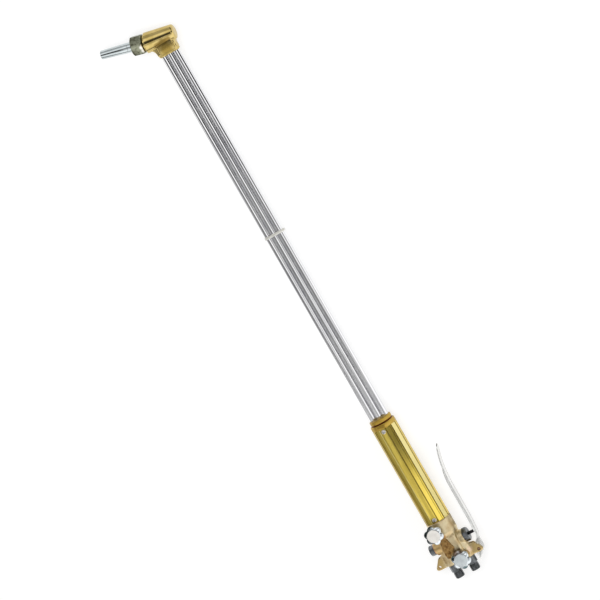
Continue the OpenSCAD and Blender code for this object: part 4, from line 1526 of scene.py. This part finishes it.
@dataclass
class CuttingValve:
    """Bonnet, push pin and plug of the cutting oxygen valve."""

    body: RearBody
    bonnet_flats: float = 19.0
    bonnet_length: float = 7.4
    pin_radius: float = 2.4
    plug_flats: float = 14.4
    plug_length: float = 7.8
    gasket: float = 0.8
    spring_radius: float = 4.0
    spring_wire: float = 0.55
    spring_low: float = -20.95
    spring_high: float = -7.75
    spring_turns: int = 6
    pin_travel: float = 3.764

    def build(self) -> None:
        """Models the outer pieces and dresses the inner ones."""
        x = self.body.at(self.body.cutting_valve)
        up = Matrix.Translation((x, self.body.bonnet_seat, 0)) @ Axis.Y.value.to_matrix().to_4x4()
        turn = Matrix.Rotation(math.radians(30), 4, "Z")
        bonnet = hexagon("bonnet_hex", self.bonnet_flats, self.bonnet_length, 1.4)
        bonnet.cut(
            Workpiece.cylinder("bore", self.pin_radius + 0.05, 30, (0, 0, -5), sides=48),
            Workpiece.turned("dish", [
                (self.bonnet_length - 1.0, 3.6), (self.bonnet_length + 0.1, 5.2)]),
        )
        bonnet.round_edges(0.15, 2, 30)
        stem = Workpiece.turned("stem", [
            (-10, self.pin_radius + 0.05), (-10, 7.6), (-9.6, 7.9), (0.2, 7.9),
            (0.2, self.pin_radius + 0.05), (-10, self.pin_radius + 0.05)], ring=True)
        bonnet.join(stem)
        bonnet.place(up @ turn)
        bonnet.complete(DARK_STEEL, Body.TORCH, "dark_steel", ["valve_bonnet"], smooth=30)
        down = Matrix.Translation(
            (x, self.body.plug_seat - self.gasket, 0)) @ Axis.MINUS_Y.value.to_matrix().to_4x4()
        plug = hexagon("plug_hex", self.plug_flats, self.plug_length, 1.2)
        plug.select_faces(lambda centre, normal: normal.z > 0.9 and centre.z > self.plug_length - 0.2)
        bpy.ops.mesh.inset(thickness=2.6)
        bpy.ops.transform.translate(value=(0, 0, -0.5))
        plug.done().round_edges(0.15, 2, 30)
        plug.place(down @ turn)
        plug.complete(DARK_STEEL, Body.TORCH, "dark_steel", ["valve_plug"], smooth=30)
        self._spring(x)
        inner = {
            "bonnet_seal": RUBBER, "poppet_seal": RUBBER, "valve_poppet": TAN_BRASS,
            "plug_gasket": COPPER, "push_pin": BLACK_STEEL,
        }
        for node, finish in inner.items():
            dress(node, finish)

    def _spring(self, x: float) -> None:
        """Winds the poppet's return spring.

        Args:
            x: Station of the valve's axis.
        """
        wire, rise = self.spring_wire, self.spring_high - self.spring_low
        bpy.ops.object.select_all(action="DESELECT")
        bpy.ops.mesh.primitive_circle_add(
            vertices=12, radius=wire, location=(self.spring_radius, 0, 0),
            rotation=(math.radians(90), 0, 0))
        spring = Workpiece("return_spring").settle()
        spring.modify(
            "SCREW", axis="Z", steps=28, render_steps=28, iterations=self.spring_turns,
            screw_offset=rise / self.spring_turns)
        spring.select_faces(lambda centre, normal: True)
        bpy.ops.mesh.fill_holes(sides=0)
        bpy.ops.mesh.normals_make_consistent(inside=False)
        spring.done()
        spring.place(
            Matrix.Translation((x, self.spring_low, 0)) @ Axis.Y.value.to_matrix().to_4x4())
        piece = spring.complete(STEEL, Body.TORCH, "steel", ["valve_spring"], smooth=50)
        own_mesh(piece)


# ---------------------------------------------------------------- lever


@dataclass
class SqueezeLever:
    """Folded stainless lever: curved channel, doubled tongue, tail and spring pin.

    Attributes:
        body: The rear body that carries it.
        width: Width of the channel.
        sheet: Thickness of the sheet.
        flange: Depth of the flanges.
        pin_radius: Radius of the pivot pin.
        finish: Its finish.
        bends: Corners of the sheet's line from the pivot, each with how far off its curve starts.
        flange_from: Where the flanges start, from the pivot.
        flange_full: Where they reach their full depth.
        flange_to: Where they end.
        flange_fade: Length over which they fade at that end.
        flange_inset: How far they stay inside the channel's edges.
        edge_band: Width of the band of painted shade along each edge.
    """

    body: RearBody
    width: float = 15.0
    sheet: float = 1.5
    flange: float = 2.65
    pin_radius: float = 2.6
    finish: Finish = SHEET
    bends: tuple[tuple[float, float, float], ...] = (
        (-15.6, 6.8, 0.0), (-22.6, 9.3, 3.5), (-47.6, 10.8, 9.0), (-112.0, 11.1, 13.0),
        (-141.4, 14.7, 13.0), (-165.2, 22.4, 0.0),
    )
    flange_from: float = -134.6
    flange_full: float = -108.0
    flange_to: float = -22.0
    flange_fade: float = 7.0
    flange_inset: float = 0.03
    edge_band: float = 0.75

    def build(self) -> None:
        """Models the lever in three sheets and dresses its pin."""
        lever = self._web()
        for side in (-1, 1):
            lever.join(self._flange(side))
        for side in (-1, 1):
            lever.join(self._tongue(side))
        lever.complete(self.finish, Body.LEVER, "stainless_sheet", ["lever"], smooth=35)
        self._edges(lever)
        dress("lever_pin", BRONZE)

    def _edges(self, lever: Workpiece) -> None:
        """Paints the edges along both sides and round the free end dark grey, as painted shade and dark
        reflection.

        Args:
            lever: The finished lever, in the metre frame.
        """
        middle = TO_FRAME.translation.z
        rim = (self.width / 2 - self.edge_band) * MM
        end = (TO_FRAME @ Vector((*self._at(Vector((self.bends[-1][0] + 1.2, 0))), 0))).x
        # painted shade and dark reflection along the edges and the free end
        lever.tint(
            EDGE, lambda centre, normal: abs(centre.z - middle) > rim and abs(normal.z) < 0.97
            or centre.x < end)

    def _path(self, step: float = 2.5) -> list[tuple[Vector, Vector]]:
        """Gives points on the sheet's middle line with their outward normals.

        Args:
            step: Longest distance between two points.

        Returns:
            The points from the pivot to the free end.
        """
        corners = [Vector((x, y)) for x, y, _ in self.bends]
        line = [corners[0]]
        for i in range(1, len(corners) - 1):
            reach = self.bends[i][2]
            corner = corners[i]
            enter = corner + reach * (corners[i - 1] - corner).normalized()
            leave = corner + reach * (corners[i + 1] - corner).normalized()
            for k in range(9):
                t = k / 8
                line.append((1 - t) ** 2 * enter + 2 * t * (1 - t) * corner + t * t * leave)
        line.append(corners[-1])
        fine = [line[0]]
        for a, b in zip(line, line[1:]):
            parts = max(1, math.ceil((b - a).length / step))
            fine += [a.lerp(b, k / parts) for k in range(1, parts + 1)]
        out = []
        for i, point in enumerate(fine):
            along = (fine[min(i + 1, len(fine) - 1)] - fine[max(i - 1, 0)]).normalized()
            out.append((point, Vector((along.y, -along.x))))
        return out

    def _at(self, point: Vector) -> tuple[float, float]:
        """Turns a point measured from the pivot into torch stations."""
        return (self.body.at(self.body.pivot) + point.x, self.body.ear_y + point.y)

    def _web(self) -> Workpiece:
        """Bends a flat sheet along the path, rounds its free end and thickens it.

        Returns:
            The piece.
        """
        path = self._path()
        columns = 12
        bpy.ops.object.select_all(action="DESELECT")
        bpy.ops.mesh.primitive_grid_add(
            x_subdivisions=len(path) - 1, y_subdivisions=columns, size=2, location=(0, 0, 0))
        web = Workpiece("lever_sheet")
        half = self.width / 2
        end_x = path[-1][0].x
        for vertex in web.obj.data.vertices:
            row = round((vertex.co.x + 1) / 2 * (len(path) - 1))
            point, normal = path[row]
            left = max(point.x - end_x, 0.0)
            reach = half
            if left < half:
                reach = math.sqrt(max(half * half - (half - left) ** 2, 0.6))
            x, y = self._at(point + normal * (self.sheet / 2))
            vertex.co = (x, y, vertex.co.y * reach)
        web.select_faces(lambda centre, normal: True)
        bpy.ops.mesh.normals_make_consistent(inside=False)
        web.done()
        outward = sum(face.normal.y for face in web.obj.data.polygons) > 0
        web.modify("SOLIDIFY", thickness=self.sheet, offset=-1 if outward else 1)
        return web.round_edges(0.35, 2, 50)

    def _flange(self, side: int) -> Workpiece:
        """Folds one stiffening flange towards the handle, faded out at both ends.

        Args:
            side: 1 for the upper edge, -1 for the lower.

        Returns:
            The piece.
        """
        path = [(p, n) for p, n in self._path() if self.flange_from <= p.x <= self.flange_to]
        upper, lower = [], []
        for point, normal in path:
            fade = min(1.0, (point.x - self.flange_from) / (self.flange_full - self.flange_from))
            fade = min(fade, max(0.0, (self.flange_to - point.x) / self.flange_fade))
            depth = max(self.flange * fade * (2 - fade), 0.05)
            upper.append(self._at(point + normal * (self.sheet / 2 - 0.2)))
            lower.append(self._at(point - normal * depth))
        low = self.width / 2 - self.sheet if side > 0 else -self.width / 2
        low -= self.flange_inset * side
        flange = Workpiece.plate("flange", upper + lower[::-1], low, low + self.sheet)
        return flange.round_edges(0.3, 2, 50)

    def _tongue(self, side: int) -> Workpiece:
        """Makes one half of the doubled tongue with its tail and pin hole.

        Args:
            side: 1 for the upper half, -1 for the lower.

        Returns:
            The piece.
        """
        outline = [
            (-23.6, 8.2), (-12.6, 9.0), (-1.6, 9.4), (2.2, 7.6), (6.9, 2.4), (17.6, -6.2),
            (16.8, -7.0), (5.3, -7.0), (-1.6, -4.8), (-7.6, -3.4), (-14.6, 3.8), (-19.6, 6.8),
        ]
        low, high = (0.04, self.sheet) if side > 0 else (-self.sheet, -0.04)
        tongue = Workpiece.plate("tongue", [self._at(Vector(p)) for p in outline], low, high)
        x, y = self._at(Vector((0, 0)))
        tongue.cut(Workpiece.cylinder("hole", self.pin_radius + 0.05, 8, (x, y, -4), sides=48))
        return tongue.round_edges(0.25, 2, 50)


# ---------------------------------------------------------------- preheat valves


@dataclass
class NeedleValve:
    """One preheat valve: gland nut, lobed knob and its flat disc."""

    gas: str
    knob_body: Body
    x: float
    y: float
    boss_top: float = 21.5
    gland_flats: float = 14.0
    gland_height: float = 5.0
    knob_low: float = 27.0
    knob_height: float = 6.0
    knob_radius: float = 14.5
    disc_radius: float = 10.0
    cap_radius: float = 9.6
    cap_height: float = 1.2
    lobes: int = 6
    lobe_depth: float = 2.8
    lobe_fullness: float = 0.45
    slope: float = 1.2
    dial_rise: float = 1.2
    bore: float = 3.05
    rim: Finish = FUEL_RIM
    disc: Finish = WARM_DISC

    def build(self) -> None:
        """Models gland nut, knob and disc, and dresses the inner pieces."""
        self._gland()
        self._knob()
        self._cap()
        inner = {"spindle": STEEL, "packing": PTFE, "knob_screw": STEEL}
        for node, finish in inner.items():
            dress(f"{self.gas}_{node}", finish)

    def _gland(self) -> None:
        """Models the chamfered gland nut round the spindle."""
        nut = hexagon(f"{self.gas}_gland_hex", self.gland_flats, self.gland_height, 0.9)
        nut.cut(Workpiece.cylinder("bore", self.bore, 20, (0, 0, -5), sides=48))
        nut.round_edges(0.12, 2, 30)
        nut.place(Matrix.Translation((self.x, self.y, self.boss_top)))
        nut.complete(DARK_STEEL, Body.TORCH, "dark_steel", [f"{self.gas}_gland_nut"], smooth=30)

    def _knob(self) -> None:
        """Models the lobed rim by pulling a fine circle in and out, then rounds it."""
        reach, disc, top = self.knob_radius, self.disc_radius, self.knob_height
        side = top - self.slope
        knob = Workpiece.turned(f"{self.gas}_knob_rim", [
            (0, reach - 0.9), (0.25, reach - 0.3), (0.8, reach), (side - 0.9, reach),
            (side - 0.3, reach - 0.25), (side, reach - 0.8), (top, disc)], sides=144)
        for vertex in knob.obj.data.vertices:
            radius = math.hypot(vertex.co.x, vertex.co.y)
            if radius > disc + 0.01:
                share = (self._lobe(math.atan2(vertex.co.y, vertex.co.x)) - disc) / (reach - disc)
                wanted = disc + (radius - disc) * share
                vertex.co.x, vertex.co.y = vertex.co.x * wanted / radius, vertex.co.y * wanted / radius
        dial = Workpiece.turned("dial", [
            (0.5, disc), (top + 0.7, disc), (top + self.dial_rise, disc - 0.5),
            (top + self.dial_rise, 5.6)], sides=72)
        knob.fuse(dial)
        knob.cut(
            Workpiece.cylinder("bore", self.bore, 5.9, (0, 0, -1), sides=48),
            Workpiece.cylinder("bore", 2.0, 9, (0, 0, 4), sides=48),
            Workpiece.cylinder("hub", 5.6, 9, (0, 0, top - 0.6), sides=48),
        )
        knob.place(Matrix.Translation((self.x, self.y, self.knob_low)))
        knob.complete(self.rim, self.knob_body, "chrome", [f"{self.gas}_knob"], smooth=40)

    def _lobe(self, angle: float) -> float:
        """Gives the knob's radius at an angle: round lobes with scallops between."""
        wave = 0.5 + 0.5 * math.cos(angle * self.lobes)
        return self.knob_radius - self.lobe_depth * (1 - wave ** self.lobe_fullness)

    def _cap(self) -> None:
        """Turns the flat disc with its rounded rim."""
        low = self.knob_low + self.knob_height + self.dial_rise
        rim, top = self.cap_radius, self.cap_height
        cap = Workpiece.turned(
            f"{self.gas}_disc",
            [(0, rim - 0.2), (0.2, rim), (top - 0.5, rim), (top - 0.15, rim - 0.25), (top, rim - 0.7)],
            (self.x, self.y, low), sides=96,
        )
        cap.complete(self.disc, self.knob_body, "chrome", [f"{self.gas}_knob_cap"], smooth=30)


# ---------------------------------------------------------------- studio


@dataclass(frozen=True)
class Panel:
    """One light panel overhead, as bare metal mirrors it.

    Attributes:
        across: Pairs of an angle in degrees from straight up towards the lever's side, and brightness.
        along: The same towards the hose end. The panel's light is the product of the two.
    """

    across: Profile
    along: Profile


@dataclass(frozen=True)
class Studio:
    """Plain pale floor, soft light and the camera.

    Attributes:
        target: Point that the camera looks at.
        elevation: Its angle above the floor, in degrees.
        azimuth: Its turn round the vertical, from the lever's side towards the hose end.
        roll: Its turn round its own line of sight.
        distance: Its distance from the target.
        lens: Its focal length.
        gain: Strength of the brightest panel.
        room: Brightness that all but glossy rays meet.
        floor_tone: The floor's own colour.
        floor_glow: Its glow for diffuse rays.
        floor_seen: Its glow for camera, glossy and transmission rays.
        panels: The light panels that glossy rays meet.
    """

    target: Point = (-0.00841, 0.00241, 0.0195)
    elevation: float = 72.304
    azimuth: float = -20.0
    roll: float = 60.094
    distance: float = 4.0
    lens: float = 166.63
    gain: float = 1.4
    room: float = 0.55
    floor_tone: float = 0.4
    floor_glow: float = 0.2
    floor_seen: float = 0.68
    panels: tuple[Panel, ...] = (
        # a strip overhead and a wall on each side, narrow along the torch
        Panel(
            ((-100, 0.85), (-86, 0.8), (-70, 0.75), (-56, 0.75), (-44, 0.01), (-2, 0.01), (3, 1.0),
             (27, 1.0), (33, 0.01), (70, 0.01), (78, 0.8), (92, 0.85)),
            ((-20, 0.3), (-8, 0.5), (-3, 1.0), (6, 1.0), (9, 0.3), (60, 0.3)),
        ),
        # the broad box, with a dark gap straight overhead
        Panel(
            ((-70, 0.0), (-55, 1.0), (20, 1.0), (60, 0.3)),
            ((-140, 0.45), (-88, 0.42), (-56, 0.4), (-50, 0.65), (-44, 0.9), (-28, 0.9), (-18, 0.12),
             (-12, 0.04), (2, 0.04), (8, 0.12), (20, 0.5), (30, 0.95), (62, 1.0), (80, 0.5), (97, 0.4)),
        ),
        # a small box on the fuel side, which the handle's upper panel mirrors to the camera
        Panel(
            ((-30, 0.0), (-25, 1.0), (-8, 1.0), (-4, 0.0)),
            ((4.0, 0.0), (7.0, 0.28), (8.3, 0.3), (9.3, 0.85), (11.8, 0.95), (14.5, 0.62), (16.5, 0.3)),
        ),
        # a dim strip beside it, which faces that point straight up mirror to the camera
        Panel(
            ((-24, 0.0), (-22, 1.0), (-15, 1.0), (-13, 0.0)),
            ((-14, 0.2), (-6, 0.35), (6, 0.4), (8, 0.4), (9, 0.0)),
        ),
        # the wall on the lever's side
        Panel(
            ((22, 0.0), (28, 1.0), (110, 1.0), (120, 0.5)),
            ((6.0, 0.0), (9.0, 0.4), (14.0, 0.85), (20.0, 1.0), (90, 0.9)),
        ),
        # a box on the fuel side, towards the hose end
        Panel(
            ((-62, 0.0), (-55, 1.0), (-36, 1.0), (-30, 0.0)),
            ((11.0, 0.0), (13.0, 0.9), (45, 0.9), (60, 0.5)),
        ),
    )

    def build(self) -> None:
        """Makes the camera, the floor, the lamps and the world."""
        self._camera()
        self._floor()
        self._lamps()
        self._world()
        bpy.context.scene.view_settings.view_transform = "Standard"

    def _camera(self) -> None:
        """Points the camera down at the torch from the lever's side."""
        rise, side = math.radians(self.elevation), math.radians(self.azimuth)
        back = Vector((
            math.sin(side) * math.cos(rise), math.cos(side) * math.cos(rise), math.sin(rise)))
        along = Vector((1, 0, 0)) - back * back.x
        along.normalize()
        across = back.cross(along)
        turn = math.radians(self.roll)
        right = along * math.cos(turn) + across * math.sin(turn)
        up = back.cross(right)
        pose = Matrix((right, up, back)).transposed().to_4x4()
        pose.translation = Vector(self.target) + back * self.distance
        data = bpy.data.cameras.new("camera")
        data.lens = self.lens
        camera = bpy.data.objects.new("camera", data)
        camera.matrix_world = pose
        bpy.context.scene.collection.objects.link(camera)
        bpy.context.scene.camera = camera

    def _floor(self) -> None:
        """Lays the pale floor, which keeps the torch's shadow."""
        bpy.ops.object.select_all(action="DESELECT")
        bpy.ops.mesh.primitive_plane_add(size=12, location=(0, 0, -0.0002))
        floor = bpy.context.object
        floor.name = "floor"
        mat = bpy.data.materials.new("pale_floor")
        mat.use_nodes = True
        shader = mat.node_tree.nodes["Principled BSDF"]
        shader.inputs["Base Color"].default_value = (*(self.floor_tone,) * 3, 1)
        shader.inputs["Roughness"].default_value = 0.9
        shader.inputs["Specular IOR Level"].default_value = 0.0
        shader.inputs["Emission Color"].default_value = (1, 1, 1, 1)
        rays = mat.node_tree.nodes.new("ShaderNodeLightPath")
        seen = rays.outputs["Is Camera Ray"]
        for kind in ("Is Glossy Ray", "Is Transmission Ray"):
            either = mat.node_tree.nodes.new("ShaderNodeMath")
            either.operation = "MAXIMUM"
            mat.node_tree.links.new(seen, either.inputs[0])
            mat.node_tree.links.new(rays.outputs[kind], either.inputs[1])
            seen = either.outputs["Value"]
        glow = mat.node_tree.nodes.new("ShaderNodeMapRange")
        glow.inputs["To Min"].default_value = self.floor_glow
        glow.inputs["To Max"].default_value = self.floor_seen
        mat.node_tree.links.new(seen, glow.inputs["Value"])
        mat.node_tree.links.new(glow.outputs["Result"], shader.inputs["Emission Strength"])
        floor.data.materials.append(mat)

    def _lamps(self) -> None:
        """Hangs one broad lamp overhead and a weaker one on the lever's side."""
        lamps = (
            ("overhead", (-0.3, 0.1, 1.9), (1.6, 1.2), 16.0),
            ("side", (0.6, 1.5, 0.9), (1.4, 0.8), 6.0),
        )
        for name, place, size, power in lamps:
            data = bpy.data.lights.new(name, "AREA")
            data.shape = "RECTANGLE"
            data.size, data.size_y = size
            data.energy = power
            lamp = bpy.data.objects.new(name, data)
            lamp.location = place
            lamp.rotation_euler = (-Vector(place)).to_track_quat("-Z", "Y").to_euler()
            lamp.visible_glossy = False
            bpy.context.scene.collection.objects.link(lamp)

    def _world(self) -> None:
        """Lights the room evenly, and shows bare metal the light panels between dark walls."""
        world = bpy.data.worlds.new("room")
        bpy.context.scene.world = world
        world.use_nodes = True
        nodes, links = world.node_tree.nodes, world.node_tree.links
        shade = nodes["Background"]
        place = nodes.new("ShaderNodeTexCoord")
        parts = nodes.new("ShaderNodeSeparateXYZ")
        links.new(place.outputs["Generated"], parts.inputs["Vector"])

        def ramp(side: str, stops: Sequence[tuple[float, float]]) -> bpy.types.NodeSocket:
            """Gives the brightness over the angle from straight up towards one side.

            Args:
                side: Axis that the angle leans to.
                stops: Pairs of an angle in degrees and brightness.

            Returns:
                The socket with it.
            """
            angle = nodes.new("ShaderNodeMath")
            angle.operation = "ARCTAN2"
            links.new(parts.outputs[side], angle.inputs[0])
            links.new(parts.outputs["Z"], angle.inputs[1])
            spread = nodes.new("ShaderNodeMapRange")
            spread.inputs["From Min"].default_value = -math.pi
            spread.inputs["From Max"].default_value = math.pi
            links.new(angle.outputs["Value"], spread.inputs["Value"])
            tone = nodes.new("ShaderNodeValToRGB")
            tone.color_ramp.interpolation = "EASE"
            marks = tone.color_ramp.elements
            marks.remove(marks[1])
            marks[0].position = stops[0][0] / 360 + 0.5
            marks[0].color = (*(stops[0][1],) * 3, 1)
            for degrees, value in stops[1:]:
                marks.new(degrees / 360 + 0.5).color = (value, value, value, 1)
            links.new(spread.outputs["Result"], tone.inputs["Fac"])
            return tone.outputs["Color"]

        def combine(
            kind: str, first: bpy.types.NodeSocket, other: bpy.types.NodeSocket
        ) -> bpy.types.NodeSocket:
            """Combines two brightness values.

            Args:
                kind: MULTIPLY or MAXIMUM.
                first: One value.
                other: The other.

            Returns:
                The socket with the result.
            """
            mix = nodes.new("ShaderNodeMath")
            mix.operation = kind
            links.new(first, mix.inputs[0])
            links.new(other, mix.inputs[1])
            return mix.outputs["Value"]

        mirrored = None
        for panel in self.panels:
            light = combine("MULTIPLY", ramp("Y", panel.across), ramp("X", panel.along))
            mirrored = combine("MAXIMUM", mirrored, light) if mirrored else light
        rays = nodes.new("ShaderNodeLightPath")
        pick = nodes.new("ShaderNodeMix")
        pick.data_type = "RGBA"
        links.new(rays.outputs["Is Glossy Ray"], pick.inputs["Factor"])
        pick.inputs["A"].default_value = (*(self.room / self.gain,) * 3, 1)
        links.new(mirrored, pick.inputs["B"])
        links.new(pick.outputs["Result"], shade.inputs["Color"])
        shade.inputs["Strength"].default_value = self.gain


def main() -> None:
    """Builds the torch from the flame end to the hose end, then the studio."""
    logging.basicConfig(level=logging.INFO, format="%(name)s: %(message)s")
    head = TorchHead()
    head.build()
    TipSet(head).build()
    TubeRow().build()
    Handle().build()
    body = RearBody()
    body.build()
    Inlets(body).build()
    CuttingValve(body).build()
    SqueezeLever(body).build()
    NeedleValve("fuel", Body.FUEL_KNOB, body.at(body.fuel_valve), -body.valve_y).build()
    NeedleValve(
        "oxygen", Body.OXYGEN_KNOB, body.at(body.oxygen_valve), body.valve_y,
        rim=OXYGEN_RIM, disc=COOL_DISC).build()
    Studio().build()


if __name__ == "__main__":
    main()
